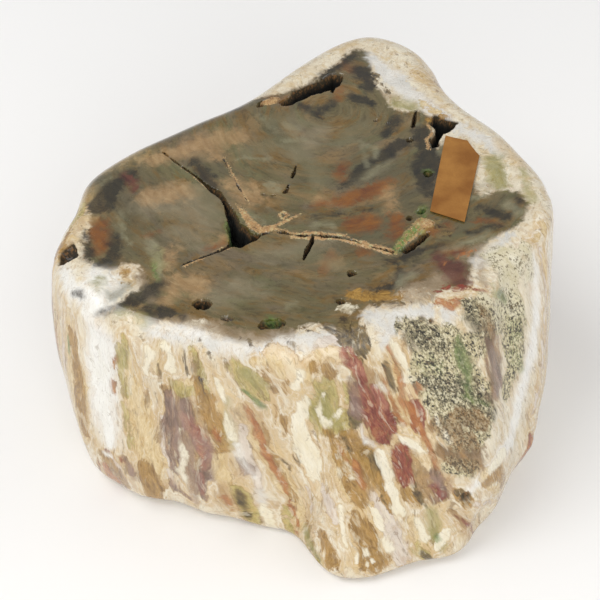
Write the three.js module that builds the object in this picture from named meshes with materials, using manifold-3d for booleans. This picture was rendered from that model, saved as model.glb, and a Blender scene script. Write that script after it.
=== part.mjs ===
// A block of petrified wood with a flat polished top, polished sides that follow the grain, and a paper label.
// Millimetres, +Z up. The origin is the middle of the flat face that the block rests on.
// The front, which shows the tall pale side with its foot, faces -Y.
import * as THREE from "three";
import { mergeVertices } from "three/addons/utils/BufferGeometryUtils.js";
import Module from "manifold-3d";

const wasm = await Module();
wasm.setup();

// Driving dimensions.
const HEIGHT = 96;
const FOOT_ROUNDING = 7;
const LABEL_THICKNESS = 0.4;
const LABEL_GAP = 0.3;

// How finely the outside is divided: round the block, and up it.
const SEGMENTS = 84;
const SIDE_ROWS = 12;
const RIM_ROWS = 4;
const FOOT_ROWS = 3;
const CAP_ROWS = 5;

// The plan, counter-clockwise from the right-hand corner. Each line follows the grain from the top to the foot:
// rim x and y, foot x and y, how far the side swells between them, and the radius of the rounded rim.
const STATIONS = [
  [87, -3, 89, -18, 5, 6],
  [87, 10, 87, 2, 5, 6],
  [84, 22, 81, 18, 4, 7],
  [74, 41, 70, 34, 3, 8],
  [61, 58, 58, 50, 2, 9],
  [55.5, 73, 50, 62, 2, 12],
  [49, 92, 44, 76, 3, 14],
  [35, 103.5, 30, 86, 3, 15],
  [19, 101, 14, 84, 3, 13],
  [0, 83, -4, 70, 2, 9],
  [-20, 60, -23, 50, 2, 8],
  [-41, 45.5, -42, 37, 2, 8],
  [-61, 32, -60, 24, 2, 9],
  [-75, 17, -72, 8, 3, 9],
  [-79, -1, -79, -12, 4, 8],
  [-84, -18, -81, -32, 4, 11],
  [-78, -38, -75, -47, 3, 10],
  [-62, -53, -58, -59, 1, 9],
  [-38, -61.5, -38, -64.5, 0, 8],
  [-14, -67.5, -19, -71, -2, 8],
  [6, -65.5, -3, -80, -3, 8],
  [24, -60, 14, -95, -2, 8],
  [44, -51, 40, -91, 1, 8],
  [61, -42, 60, -83, 3, 7],
  [70, -27, 74, -62, 4, 6],
  [79, -15, 84, -40, 5, 6],
];
const TOP_MIDDLE = [4, 8];
const FOOT_MIDDLE = [0, 0];

// Low flutes that the polishing left along the grain: how many go round, how far they drift up the side,
// where they start, and how high they stand.
const FLUTES = [
  { count: 3, drift: 0.9, start: 0.1, height: 0.8 },
  { count: 11, drift: 0.5, start: 0.35, height: 0.7 },
  { count: 23, drift: -0.6, start: 0.2, height: 0.4 },
];
const FLUTE_FADE = 14;

// Knobs and hollows on the side: middle, reach, and how far the surface stands out, or in where it is negative.
const LUMPS = [
  { at: [84, -46, 16], reach: 9, out: 3.2 },
  { at: [66, -74, 9], reach: 8, out: -2.6 },
  { at: [72, -67, 24], reach: 10, out: 1.6 },
  { at: [88, -30, 52], reach: 16, out: -1.6 },
  { at: [58, -58, 70], reach: 14, out: -1.8 },
  { at: [16, -70, 66], reach: 15, out: -1.6 },
  { at: [-6, -76, 12], reach: 12, out: -3.0 },
  { at: [-36, -64, 40], reach: 18, out: 1.6 },
  { at: [-60, -56, 18], reach: 12, out: 1.8 },
  { at: [-82, -20, 40], reach: 18, out: -1.5 },
  { at: [-50, 34, 50], reach: 22, out: 2.2 },
  { at: [-8, 68, 30], reach: 20, out: -2.4 },
  { at: [30, 92, 34], reach: 18, out: 2.0 },
  { at: [60, 50, 44], reach: 18, out: -2.6 },
  { at: [82, 14, 30], reach: 18, out: 1.8 },
];

// Open cavities in the top: outline x and y, depth, and the size of the floor as a share of the mouth.
const CAVITIES = {
  splitCavity: {
    outline: [
      [-26.8, -3.6],
      [-24.4, -10],
      [-25.2, -16.2],
      [-20.9, -20.7],
      [-15, -17],
      [-17.6, -12.6],
      [-20.4, -9.4],
      [-22.6, -3.4],
    ],
    depth: 13,
    floor: 0.35,
  },
  greenCavity: {
    outline: [
      [30.8, -22.6],
      [35.6, -18],
      [37.4, -11.6],
      [41.2, -8.6],
      [42.2, -3],
      [45.2, -5.6],
      [46, -12.2],
      [41, -16.8],
      [35.4, -23.4],
    ],
    depth: 6.5,
    floor: 0.4,
  },
  backCavity: {
    outline: [
      [-14.4, 53.8],
      [-9.6, 57],
      [-4.4, 57.4],
      [-3.2, 62],
      [2.6, 66],
      [8.4, 68.4],
      [12, 72.6],
      [16.2, 71],
      [15.4, 64.6],
      [9.6, 61.4],
      [3.2, 58.2],
      [-2.6, 53.4],
      [-9.4, 53.2],
    ],
    depth: 8,
    floor: 0.5,
  },
  labelCavity: {
    outline: [
      [47.6, 28.8],
      [47.4, 33.4],
      [49.8, 37.4],
      [47.8, 42.6],
      [49.8, 48.6],
      [53.2, 46.2],
      [59.2, 44.4],
      [56.8, 39.8],
      [52.2, 37.2],
      [50.6, 30.4],
    ],
    depth: 11,
    floor: 0.45,
  },
};

// Cracks in the top: points along each, with x, y and the half width there, and the depth.
const CRACKS = {
  mainCrack: {
    line: [
      [-48, 24.6, 0.2],
      [-41.3, 18.3, 0.45],
      [-34.2, 10.5, 0.6],
      [-30.1, 6.4, 1.5],
      [-27.4, 2.2, 0.8],
      [-25.2, -2.4, 1.3],
      [-23.6, -6, 1.6],
    ],
    depth: 5,
  },
  rightCrack: {
    line: [
      [-16.6, -15.6, 1],
      [-11.6, -12.6, 0.8],
      [-7.5, -11.6, 0.5],
      [-3.6, -14.4, 0.8],
      [4.1, -14.2, 0.55],
      [9.8, -15.8, 0.5],
      [16.3, -16.4, 0.55],
      [24, -20.2, 0.5],
      [32, -21.9, 0.7],
    ],
    depth: 3,
  },
  leftCrack: {
    line: [
      [-22.4, -19.6, 0.6],
      [-26.4, -22.4, 0.4],
      [-31.5, -25, 0.3],
      [-39.6, -29.2, 0.15],
    ],
    depth: 1.6,
  },
  branchCrack: {
    line: [
      [4.4, -14.4, 0.4],
      [4, -18.2, 0.8],
      [2.6, -22, 0.9],
      [1.2, -26.4, 0.35],
    ],
    depth: 4,
  },
  shortCrack: {
    line: [
      [-1.4, 19.6, 0.2],
      [-2.6, 15, 0.6],
      [-4, 10.6, 0.35],
      [-5.4, 6, 0.8],
    ],
    depth: 3,
  },
  slotCrack: {
    line: [
      [43.2, 50, 0.35],
      [42.4, 45.6, 0.5],
      [41.6, 41.2, 1],
    ],
    depth: 3,
  },
};
const CRACK_STEPS = 20;
const CRACK_FLOOR = 0.25;
const CUTTER_OVERLAP = 3;

// Small holes: middle, half sizes along X, Y and Z, and a turn about Z in degrees.
const HOLES = [
  { at: [-31.5, -46.7, 96], half: [3.4, 2, 5], turn: -4 },
  { at: [-9, -55.4, 96], half: [5, 1.8, 3.5], turn: 12 },
  { at: [-23.4, -52.8, 96], half: [2.4, 1.1, 1.6], turn: -8 },
  { at: [45.4, 15.2, 96], half: [1.5, 1.7, 4], turn: 0 },
  { at: [40, 33.3, 96], half: [1.3, 1.1, 3], turn: 20 },
  { at: [16.9, -33, 96], half: [1.5, 1.3, 3], turn: 0 },
  { at: [13.2, -45.6, 96], half: [1.5, 1.1, 2.4], turn: 0 },
  { at: [-83.5, -25, 91], half: [7, 3.9, 4.4], turn: 20 },
];

// The label's corners on the top, x and y. One corner is torn off.
const LABEL_OUTLINE = [
  [44.9, -4],
  [56.4, -9.4],
  [64.2, 24.5],
  [60.2, 33.6],
  [53, 34.9],
];

const COLOURS = {
  stone: { color: 0xb9a888, roughness: 0.28, metalness: 0 },
  paper: { color: 0xa8692c, roughness: 0.8, metalness: 0 },
};

const rimLine = new THREE.CatmullRomCurve3(
  STATIONS.map((s) => new THREE.Vector3(s[0], s[1], s[5])),
  true,
  "catmullrom",
  0.5,
);
const footLine = new THREE.CatmullRomCurve3(
  STATIONS.map((s) => new THREE.Vector3(s[2], s[3], s[4])),
  true,
  "catmullrom",
  0.5,
);
const LOOK_ASIDE = 1 / 360;

// Where a straight grain line passes a height, before the side swells.
function grainPoint(turn, height) {
  const share = height / HEIGHT;
  return footLine.getPoint(turn).lerp(rimLine.getPoint(turn), share);
}

// Which way the side faces there, level with the ground.
function outward(turn, height) {
  const ahead = grainPoint(turn + LOOK_ASIDE, height);
  const behind = grainPoint(turn - LOOK_ASIDE, height);
  return new THREE.Vector2(
    ahead.y - behind.y,
    behind.x - ahead.x,
  ).normalize();
}

function fluteHeight(turn, height) {
  const share = height / HEIGHT;
  const fade = THREE.MathUtils.clamp((HEIGHT - height) / FLUTE_FADE, 0, 1);
  let sum = 0;
  for (const f of FLUTES) {
    const phase = f.count * turn + f.drift * share + f.start;
    sum += f.height * Math.sin(2 * Math.PI * phase);
  }
  return sum * fade;
}

function lumpHeight(x, y, height) {
  let sum = 0;
  for (const lump of LUMPS) {
    const [lx, ly, lz] = lump.at;
    const apart = Math.hypot(x - lx, y - ly, height - lz) / lump.reach;
    sum += lump.out * Math.exp(-apart * apart);
  }
  return sum;
}

// A point of the side at a share of a turn and a height, drawn in by inset where the rim and the foot are rounded.
function sidePoint(turn, height, inset) {
  const share = height / HEIGHT;
  const base = grainPoint(turn, height);
  const facing = outward(turn, height);
  const swell = footLine.getPoint(turn).z * 4 * share * (1 - share);
  const x = base.x + facing.x * swell;
  const y = base.y + facing.y * swell;
  const out = lumpHeight(x, y, height) + fluteHeight(turn, height) - inset;
  return new THREE.Vector3(x + facing.x * out, y + facing.y * out, height);
}

// The rows of the block from the middle of its foot, up the side, to the middle of its top.
// Each gives a height and an inset for a rim radius, and how far a cap's ring is drawn to the cap's middle.
function blockRows() {
  const rows = [];
  const quarter = Math.PI / 2;
  for (let i = 0; i < CAP_ROWS - 2; i++) {
    rows.push({ cap: i / (CAP_ROWS - 2), middle: FOOT_MIDDLE, step: 0 });
  }
  for (let i = 0; i <= FOOT_ROWS; i++) {
    rows.push({ foot: quarter * (1 - i / FOOT_ROWS) });
  }
  for (let i = 1; i < SIDE_ROWS; i++) {
    rows.push({ side: i / SIDE_ROWS });
  }
  for (let i = 0; i <= RIM_ROWS; i++) {
    rows.push({ rim: (quarter * i) / RIM_ROWS });
  }
  for (let i = 1; i <= CAP_ROWS; i++) {
    rows.push({ cap: 1 - i / CAP_ROWS, middle: TOP_MIDDLE, step: 1 });
  }
  return rows;
}

function rowPoint(row, turn) {
  const rounding = rimLine.getPoint(turn).z;
  if (row.foot !== undefined) {
    const height = FOOT_ROUNDING * (1 - Math.sin(row.foot));
    return sidePoint(turn, height, FOOT_ROUNDING * (1 - Math.cos(row.foot)));
  }
  if (row.side !== undefined) {
    const span = HEIGHT - rounding - FOOT_ROUNDING;
    return sidePoint(turn, FOOT_ROUNDING + span * row.side, 0);
  }
  if (row.rim !== undefined) {
    const height = HEIGHT - rounding * (1 - Math.sin(row.rim));
    return sidePoint(turn, height, rounding * (1 - Math.cos(row.rim)));
  }
  const edge =
    row.step === 1
      ? sidePoint(turn, HEIGHT, rounding)
      : sidePoint(turn, 0, FOOT_ROUNDING);
  const middle = new THREE.Vector3(...row.middle, edge.z);
  return middle.lerp(edge, row.cap);
}

function solidOf(geometry) {
  const bare = geometry.clone();
  bare.deleteAttribute("normal");
  bare.deleteAttribute("uv");
  const merged = mergeVertices(bare, 1e-4);
  return new wasm.Manifold(
    new wasm.Mesh({
      numProp: 3,
      vertProperties: merged.attributes.position.array,
      triVerts: new Uint32Array(merged.index.array),
    }),
  );
}

function geometryOf(solid) {
  const mesh = solid.getMesh();
  const geometry = new THREE.BufferGeometry();
  geometry.setAttribute(
    "position",
    new THREE.BufferAttribute(mesh.vertProperties, 3),
  );
  geometry.setIndex(new THREE.BufferAttribute(mesh.triVerts, 1));
  geometry.computeVertexNormals();
  return geometry;
}

// A lathe gives the closed grid of rows and segments, and each of its vertices then moves to its place on the block.
function blockSolid() {
  const rows = blockRows();
  const last = rows.length - 1;
  const profile = rows.map(
    (row, i) => new THREE.Vector2(i === 0 || i === last ? 0 : 1, i),
  );
  const lathe = new THREE.LatheGeometry(profile, SEGMENTS);
  const place = lathe.attributes.position;
  for (let segment = 0; segment <= SEGMENTS; segment++) {
    const turn = (segment % SEGMENTS) / SEGMENTS;
    rows.forEach((row, i) => {
      const p = rowPoint(row, turn);
      place.setXYZ(segment * rows.length + i, p.x, p.y, p.z);
    });
  }
  return solidOf(lathe);
}

// A cavity's outline carried down to a smaller floor.
function cavitySolid({ outline, depth, floor }) {
  const shape = new THREE.Shape(outline.map(([x, y]) => new THREE.Vector2(x, y)));
  const geometry = new THREE.ExtrudeGeometry(shape, {
    depth: depth + CUTTER_OVERLAP,
    steps: 3,
    bevelEnabled: false,
  });
  const middle = new THREE.Vector2();
  outline.forEach(([x, y]) => middle.add(new THREE.Vector2(x, y)));
  middle.divideScalar(outline.length);
  const place = geometry.attributes.position;
  for (let i = 0; i < place.count; i++) {
    const z = place.getZ(i);
    const down = THREE.MathUtils.clamp((depth - z) / depth, 0, 1);
    const keep = 1 - (1 - floor) * down * down;
    place.setXYZ(
      i,
      middle.x + (place.getX(i) - middle.x) * keep,
      middle.y + (place.getY(i) - middle.y) * keep,
      HEIGHT - depth + z,
    );
  }
  return solidOf(geometry);
}

// A wedge that follows the crack's line and narrows to its floor and its ends.
function crackSolid({ line, depth }) {
  const route = new THREE.CatmullRomCurve3(
    line.map(([x, y, half]) => new THREE.Vector3(x, y, half)),
  );
  const geometry = new THREE.BoxGeometry(1, 1, 1, CRACK_STEPS, 1, 1);
  const place = geometry.attributes.position;
  for (let i = 0; i < place.count; i++) {
    const along = place.getX(i) + 0.5;
    const side = Math.sign(place.getY(i));
    const low = place.getZ(i) < 0;
    const p = route.getPoint(along);
    const way = route.getTangent(along);
    const across = new THREE.Vector2(-way.y, way.x).normalize();
    const half = p.z * (low ? CRACK_FLOOR : 1);
    const z = low ? HEIGHT - depth : HEIGHT + CUTTER_OVERLAP;
    place.setXYZ(i, p.x + across.x * side * half, p.y + across.y * side * half, z);
  }
  return solidOf(geometry);
}

// A rough ball, longer one way, for a small hole.
function holeSolid({ at, half, turn }) {
  const geometry = new THREE.IcosahedronGeometry(1, 2);
  const place = geometry.attributes.position;
  for (let i = 0; i < place.count; i++) {
    const x = place.getX(i);
    const y = place.getY(i);
    const around = Math.atan2(y, x);
    const rough = 1 + 0.12 * Math.sin(3 * around + 1) + 0.08 * Math.sin(5 * around);
    place.setX(i, x * rough);
    place.setY(i, y * rough);
  }
  geometry.scale(...half);
  geometry.rotateZ(THREE.MathUtils.degToRad(turn));
  geometry.translate(...at);
  return solidOf(geometry);
}

function petrifiedWood() {
  const cutters = [
    ...Object.values(CAVITIES).map(cavitySolid),
    ...Object.values(CRACKS).map(crackSolid),
    ...HOLES.map(holeSolid),
  ];
  let stone = blockSolid();
  for (const cutter of cutters) {
    stone = stone.subtract(cutter);
  }
  return geometryOf(stone);
}

function paperLabel() {
  const shape = new THREE.Shape(
    LABEL_OUTLINE.map(([x, y]) => new THREE.Vector2(x, y)),
  );
  const geometry = new THREE.ExtrudeGeometry(shape, {
    depth: LABEL_THICKNESS,
    bevelEnabled: false,
  });
  geometry.translate(0, 0, HEIGHT + LABEL_GAP);
  return geometry;
}

function named(name, geometry, look) {
  const mesh = new THREE.Mesh(geometry, new THREE.MeshStandardMaterial(look));
  mesh.name = name;
  return mesh;
}

const fossil = new THREE.Group();
fossil.add(named("petrified_wood", petrifiedWood(), COLOURS.stone));
fossil.add(named("paper_label", paperLabel(), COLOURS.paper));

export default fossil;
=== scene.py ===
# A block of petrified wood: a flat polished top with cracks and cavities, sides that show the grain and its
# minerals, and a bare paper label. Sizes and places are in millimetres, and each finished mesh is in metres.
import itertools
import math
import random

import bpy
import numpy as np
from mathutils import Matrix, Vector
from mathutils.bvhtree import BVHTree


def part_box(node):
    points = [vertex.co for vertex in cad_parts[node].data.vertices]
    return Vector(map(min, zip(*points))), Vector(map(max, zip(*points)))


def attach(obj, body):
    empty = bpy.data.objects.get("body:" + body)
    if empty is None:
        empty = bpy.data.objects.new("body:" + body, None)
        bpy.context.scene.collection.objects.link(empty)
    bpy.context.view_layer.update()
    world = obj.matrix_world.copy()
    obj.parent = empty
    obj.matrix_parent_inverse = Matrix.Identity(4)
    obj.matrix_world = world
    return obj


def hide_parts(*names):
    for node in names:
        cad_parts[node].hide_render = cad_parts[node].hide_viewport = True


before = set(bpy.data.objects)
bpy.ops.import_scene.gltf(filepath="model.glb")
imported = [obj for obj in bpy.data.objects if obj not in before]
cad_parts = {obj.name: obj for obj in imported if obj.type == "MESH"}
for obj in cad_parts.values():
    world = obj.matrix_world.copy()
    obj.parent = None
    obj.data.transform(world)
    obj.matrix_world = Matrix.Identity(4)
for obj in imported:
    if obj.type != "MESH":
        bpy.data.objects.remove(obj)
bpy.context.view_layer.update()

MM = 0.001
LATTICE_PRIMES = np.array((73856093, 19349663, 83492791))
SEED_PRIME = 2654435761
SCATTER_PRIME = 1274126177
LATTICE_LIMIT = 0x7FFFFFFF
QUARTER = math.pi / 2
STONE_LOW, STONE_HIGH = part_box("petrified_wood")
HEIGHT = (STONE_HIGH[2] - STONE_LOW[2]) / MM
FOOT_ROUNDING = 7

# The view of the photo, and the size of its square frame in pixels.
PHOTO_SIZE = 600
VIEW_ANGLE = math.radians(25)
VIEW_TILT = math.radians(48)
VIEW_DISTANCE = 440
VIEW_TARGET = Vector((0, -45, HEIGHT))
VIEW_FORWARD = Vector((0, math.cos(VIEW_TILT), -math.sin(VIEW_TILT)))
VIEW_UP = Vector((0, math.sin(VIEW_TILT), math.cos(VIEW_TILT)))
VIEW_RIGHT = Vector((1, 0, 0))
VIEW_PLACE = VIEW_TARGET - VIEW_FORWARD * VIEW_DISTANCE
FOCAL_PIXELS = PHOTO_SIZE / 2 / math.tan(VIEW_ANGLE / 2)
PIXELS_PER_MM = FOCAL_PIXELS / VIEW_DISTANCE

# How finely the stone is divided: round it, and in rows from the middle of its foot to the middle of its top.
# The front has more than its share of the segments.
SEGMENTS = 440
FOOT_CAP_ROWS = 5
FOOT_ROWS = 6
SIDE_ROWS = 72
RIM_ROWS = 12
TOP_ROWS = 50
FRONT_SHARE = 0.35
FIRST_SIDE_ROW = FOOT_CAP_ROWS + FOOT_ROWS
FIRST_RIM_ROW = FIRST_SIDE_ROW + SIDE_ROWS
ROWS = FIRST_RIM_ROW + RIM_ROWS + TOP_ROWS

# The plan, counter-clockwise from the right-hand corner, as the solid has it:
# rim x and y, foot x and y, how far the side swells between them, and the radius of the rounded rim.
STATIONS = np.array([
    (87, -3, 89, -18, 5, 6),
    (87, 10, 87, 2, 5, 6),
    (84, 22, 81, 18, 4, 7),
    (74, 41, 70, 34, 3, 8),
    (61, 58, 58, 50, 2, 9),
    (55.5, 73, 50, 62, 2, 12),
    (49, 92, 44, 76, 3, 14),
    (35, 103.5, 30, 86, 3, 15),
    (19, 101, 14, 84, 3, 13),
    (0, 83, -4, 70, 2, 9),
    (-20, 60, -23, 50, 2, 8),
    (-41, 45.5, -42, 37, 2, 8),
    (-61, 32, -60, 24, 2, 9),
    (-75, 17, -72, 8, 3, 9),
    (-79, -1, -79, -12, 4, 8),
    (-84, -18, -81, -32, 4, 11),
    (-78, -38, -75, -47, 3, 10),
    (-62, -53, -58, -59, 1, 9),
    (-38, -61.5, -38, -64.5, 0, 8),
    (-14, -67.5, -19, -71, -2, 8),
    (6, -65.5, -3, -80, -3, 8),
    (24, -60, 14, -95, -2, 8),
    (44, -51, 40, -91, 1, 8),
    (61, -42, 60, -83, 3, 7),
    (70, -27, 74, -62, 4, 6),
    (79, -15, 84, -40, 5, 6),
])
TOP_MIDDLE = (4, 8)
FOOT_MIDDLE = (0, 0)
LOOK_ASIDE = 1 / 360
FAR = 12.0

# Low flutes along the grain: how many go round, how far they drift up the side, where they start, their height.
FLUTES = ((3, 0.9, 0.1, 0.8), (11, 0.5, 0.35, 0.7), (23, -0.6, 0.2, 0.4))
FLUTE_FADE = 14

# Knobs and hollows of the side: middle, reach, and how far the surface stands out.
LUMPS = (
    ((84, -46, 16), 9, 3.2),
    ((66, -74, 9), 8, -2.6),
    ((72, -67, 24), 10, 1.6),
    ((88, -30, 52), 16, -1.6),
    ((58, -58, 70), 14, -1.8),
    ((16, -70, 66), 15, -1.6),
    ((-6, -76, 12), 12, -3.0),
    ((-36, -64, 40), 18, 1.6),
    ((-60, -56, 18), 12, 1.8),
    ((-82, -20, 40), 18, -1.5),
    ((-50, 34, 50), 22, 2.2),
    ((-8, 68, 30), 20, -2.4),
    ((30, 92, 34), 18, 2.0),
    ((60, 50, 44), 18, -2.6),
    ((82, 14, 30), 18, 1.8),
)

# Cavities of the top: outline x and y, and depth.
CAVITIES = {
    "split": (
        [(-25.2, -3), (-22.6, -3.4), (-20.4, -9), (-16.6, -14.4), (-12.9, -14.6), (-14.9, -17.7), (-20.2, -21),
         (-23.6, -20.5), (-24.5, -13.8), (-25.4, -8)],
        13,
    ),
    "green": (
        [(31, -23), (35, -21.2), (38.4, -18.2), (41.4, -14.2), (44.4, -12.2), (44, -14.8), (40.2, -19.8),
         (35.6, -23.8)],
        5,
    ),
    "green_pit": ([(40.2, -4.8), (41.4, -1.8), (43.8, -0.6), (44, -3), (42, -5.2)], 3),
    "back": (
        [(-8, 54.8), (-4.4, 57.4), (-3.2, 62), (2.6, 66), (8.4, 68.4), (12, 72.6), (16.2, 71), (15.4, 64.6),
         (9.6, 61.4), (3.2, 58.2), (-2.6, 53.4), (-6.4, 53)],
        8,
    ),
    "label": (
        [(47.6, 28.8), (47.4, 33.4), (49.8, 37.4), (47.8, 42.6), (49.8, 48.6), (53.2, 46.2), (59.2, 44.4),
         (56.8, 39.8), (52.2, 37.2), (50.6, 30.4)],
        11,
    ),
}
CAVITY_WALL = 1.8

# Cracks of the top: points with x, y and the half width there, then the depth.
CRACKS = {
    "main": (
        [(-49.4, 26.8, 0.05), (-44, 21, 0.1), (-40.2, 17.3, 0.15), (-36.9, 14.1, 0.2), (-33.5, 10, 0.25),
         (-31.2, 7.4, 0.8), (-28.7, 5.4, 1.1), (-26.9, 2.6, 0.5), (-25.3, -1.1, 0.8), (-24, -5, 1.4)],
        5,
    ),
    "right": (
        [(-12.5, -14.6, 0.4), (-9, -13.8, -0.2), (-5.5, -14, 0.5), (-2, -15.2, -0.1), (1.5, -15.6, 0.6),
         (4, -15.2, -0.15), (7.5, -15.7, 0.5), (11.4, -16, 0.45), (15, -16.8, -0.2), (18.6, -18.1, 0.3),
         (22, -19.8, -0.3), (26, -21.6, 0.15), (31, -23.4, 0.3)],
        2.4,
    ),
    "left": ([(-22.4, -19.6, 0.6), (-26.4, -22.4, 0.4), (-31.5, -25, 0.3), (-39.6, -29.2, 0.15)], 1.6),
    "branch": ([(4.4, -15.4, 0.25), (4, -18.2, 0.6), (2.6, -22, 0.75), (1.2, -26.4, 0.35)], 4),
    "short": ([(-1.4, 19.9, 0.05), (-2.1, 16.2, 0.5), (-2.8, 13.6, 0.3)], 2.4),
    "short_low": ([(-3.9, 10, 0.1), (-4.6, 7.4, 0.4), (-5.3, 5.9, 0.6)], 2.4),
    "thin": ([(-27.6, 23.6, 0.1), (-24.1, 14.7, -0.05), (-21.8, 9, 0.1), (-17.4, -0.6, -0.05)], 0.8),
    "slot": ([(43.2, 50, 0.25), (42.4, 45.6, 0.4), (41.6, 41.2, 0.7)], 3),
    "far": ([(10.4, 69.8, 0.3), (13.4, 66.4, 0.7), (12.2, 61, 0.4)], 2.5),
}

# Raised crusts beside the cracks: points with x, y and half width, then how high the knobs stand.
CRUSTS = {
    "ridge": (
        [(-22.2, -0.1, 0.4), (-19.3, -5.1, 1.3), (-16.4, -10, 2), (-13.6, -12.6, 1.9), (-10.9, -12.2, 1.6),
         (-7.9, -10.5, 0.9), (-3.4, -7.5, 0.8), (-1, -5.6, 0.6), (0.7, -4.6, 0.3)],
        1,
    ),
    "loop": ([(-5.9, -3.8, 0.6), (-4.3, -5.6, 0.6), (-5.8, -7.3, 0.6), (-7.4, -5.6, 0.6), (-5.9, -3.8, 0.6)], 0.5),
    "right_upper": (
        [(-10.9, -12.4, 1), (-8.2, -12.2, 0.9), (-5.5, -13, 0.8), (-2.7, -14.6, 1), (2, -14.4, 1),
         (4.8, -14, 0.7), (7.5, -14.4, 0.9), (14.3, -15.2, 0.6), (17.6, -16.8, 0.7), (23.6, -19.8, 0.8),
         (29.6, -22.2, 1.1), (32, -23.4, 0.8)],
        0.6,
    ),
    "right_lower": (
        [(-3, -16, 0.7), (2, -16.4, 0.9), (5.4, -16.4, 1.1), (9, -16.6, 0.6), (13.6, -17.2, 0.8),
         (19.6, -19.2, 0.8), (25.2, -21.6, 1), (30.4, -23.8, 0.7)],
        0.5,
    ),
    "thin_lip": ([(-27.4, 24, 0.2), (-24, 15.2, 0.4), (-21.4, 9, 0.3), (-17.2, -0.2, 0.5)], 0.25),
    "main_lip": ([(-44, 20.2, 0.2), (-38, 14.4, 0.35), (-33.4, 8.8, 0.4), (-29.6, 5, 0.2)], 0.3),
    "left_lip": ([(-38.6, -29.8, 0.3), (-31.5, -25.2, 0.55), (-26.3, -21.9, 0.8), (-22.9, -20.6, 0.8)], 0.35),
    "green_fill": (
        [(32.6, -21.2, 0.8), (35.6, -17.4, 1.9), (38.8, -13.2, 2.4), (42, -9.8, 2.6), (44.8, -9.6, 1.8)],
        1.2,
    ),
    "back_lip": ([(-16.4, 52.8, 0.5), (-12.6, 54.8, 1.7), (-9.4, 56.2, 1.9)], 1),
    "label_lip": ([(46.6, 28.6, 0.5), (46.2, 33.6, 0.6), (48.6, 37.6, 0.5), (46.8, 42.2, 0.4)], 0.4),
}

# Small holes of the top: x, y, half sizes along and across, a turn in degrees, and the depth.
HOLES = (
    (-31.5, -46.7, 3.4, 2, -4, 5),
    (-9, -55.4, 5, 1.8, 12, 3.5),
    (-23.4, -52.8, 2.4, 1.1, -8, 1.6),
    (37.6, -7, 1.4, 0.9, 80, 2.4),
    (-14.8, 53.2, 1.6, 0.8, 20, 2),
    (45.4, 15.2, 1.5, 1.7, 0, 4),
    (40, 33.3, 1.3, 1.1, 20, 3),
    (16.9, -33, 1.5, 1.3, 0, 3),
    (13.2, -45.6, 1.5, 1.1, 0, 2.4),
    (28.1, 44.5, 0.9, 0.6, 10, 1.4),
    (32.1, 42.8, 1, 0.5, 10, 1.4),
    (-12.6, 4.9, 0.7, 0.5, 0, 1),
    (-9.4, 4.4, 0.8, 0.5, 0, 1),
)

# Holes of the rim and side: place in the photo, reach in mm, depth in mm.
SIDE_HOLES = (
    ((66, 254), 4.4, 4.2),
    ((432, 321), 1.1, 1.2),
    ((423, 318), 1.4, 1),
    ((477, 379), 1.3, 1),
    ((466, 497), 2.4, 1.4),
    ((312, 564), 1.2, 0.8),
    ((290, 467), 1.2, 0.6),
    ((395, 420), 1.2, 0.7),
)

# Where the dark heart of the wood ends and the pale rind starts, as points of the photo on the level of the top.
HEART_EDGE = (
    (78, 200), (87, 204), (91, 215), (89, 232), (85, 247), (86, 259), (97, 266), (110, 270), (124, 263), (139, 265),
    (143, 279), (138, 290), (122, 301), (106, 307), (95, 314), (112, 311), (132, 311), (142, 317), (147, 326),
    (160, 319), (182, 322), (205, 320), (216, 326), (226, 339), (244, 342), (268, 338), (292, 334), (300, 327),
    (314, 323), (336, 328), (352, 330), (362, 322), (362, 310), (378, 304), (394, 300), (400, 290), (418, 287),
    (436, 290), (466, 286), (472, 270), (478, 252), (490, 240), (507, 231), (523, 221), (529, 203), (520, 192),
    (500, 190), (482, 196), (468, 180), (462, 150), (450, 139), (438, 148), (432, 132), (434, 118), (420, 110),
    (404, 112), (390, 107), (382, 92), (372, 82), (372, 66), (368, 52), (354, 48), (342, 60), (326, 72), (308, 84),
    (286, 92), (262, 97), (246, 96), (236, 84), (200, 104), (160, 122), (120, 146), (88, 170), (70, 192),
)

# The label's corners on the top: near left, near right, far right, far left, and where its torn corner is cut.
LABEL_CORNERS = ((44.9, -4), (56.4, -9.4), (66, 30.6), (53, 34.9))
LABEL_TEAR = ((64.2, 24.5), (60.2, 33.6))
LABEL_RISE = 0.3
LABEL_THICKNESS = 0.25

# What the studio adds to a colour: the white that its light lays over the gloss, and how much it brightens it.
GLOSS_WHITE = 0.02
LIGHT_GAIN = 1.12
DARKEST = 0.0015
FLOOR_WHITE = (0.888, 0.871, 0.847, 1.0)


def seen(red, green, blue):
    """The stone's own colour, in linear numbers, that looks like one seen in the photo, given from 0 to 255."""
    parts = [part / 255 for part in (red, green, blue)]
    linear = [part / 12.92 if part <= 0.04045 else ((part + 0.055) / 1.055) ** 2.4 for part in parts]
    return (*[max((part - GLOSS_WHITE) / LIGHT_GAIN, DARKEST) for part in linear], 1.0)


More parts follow.
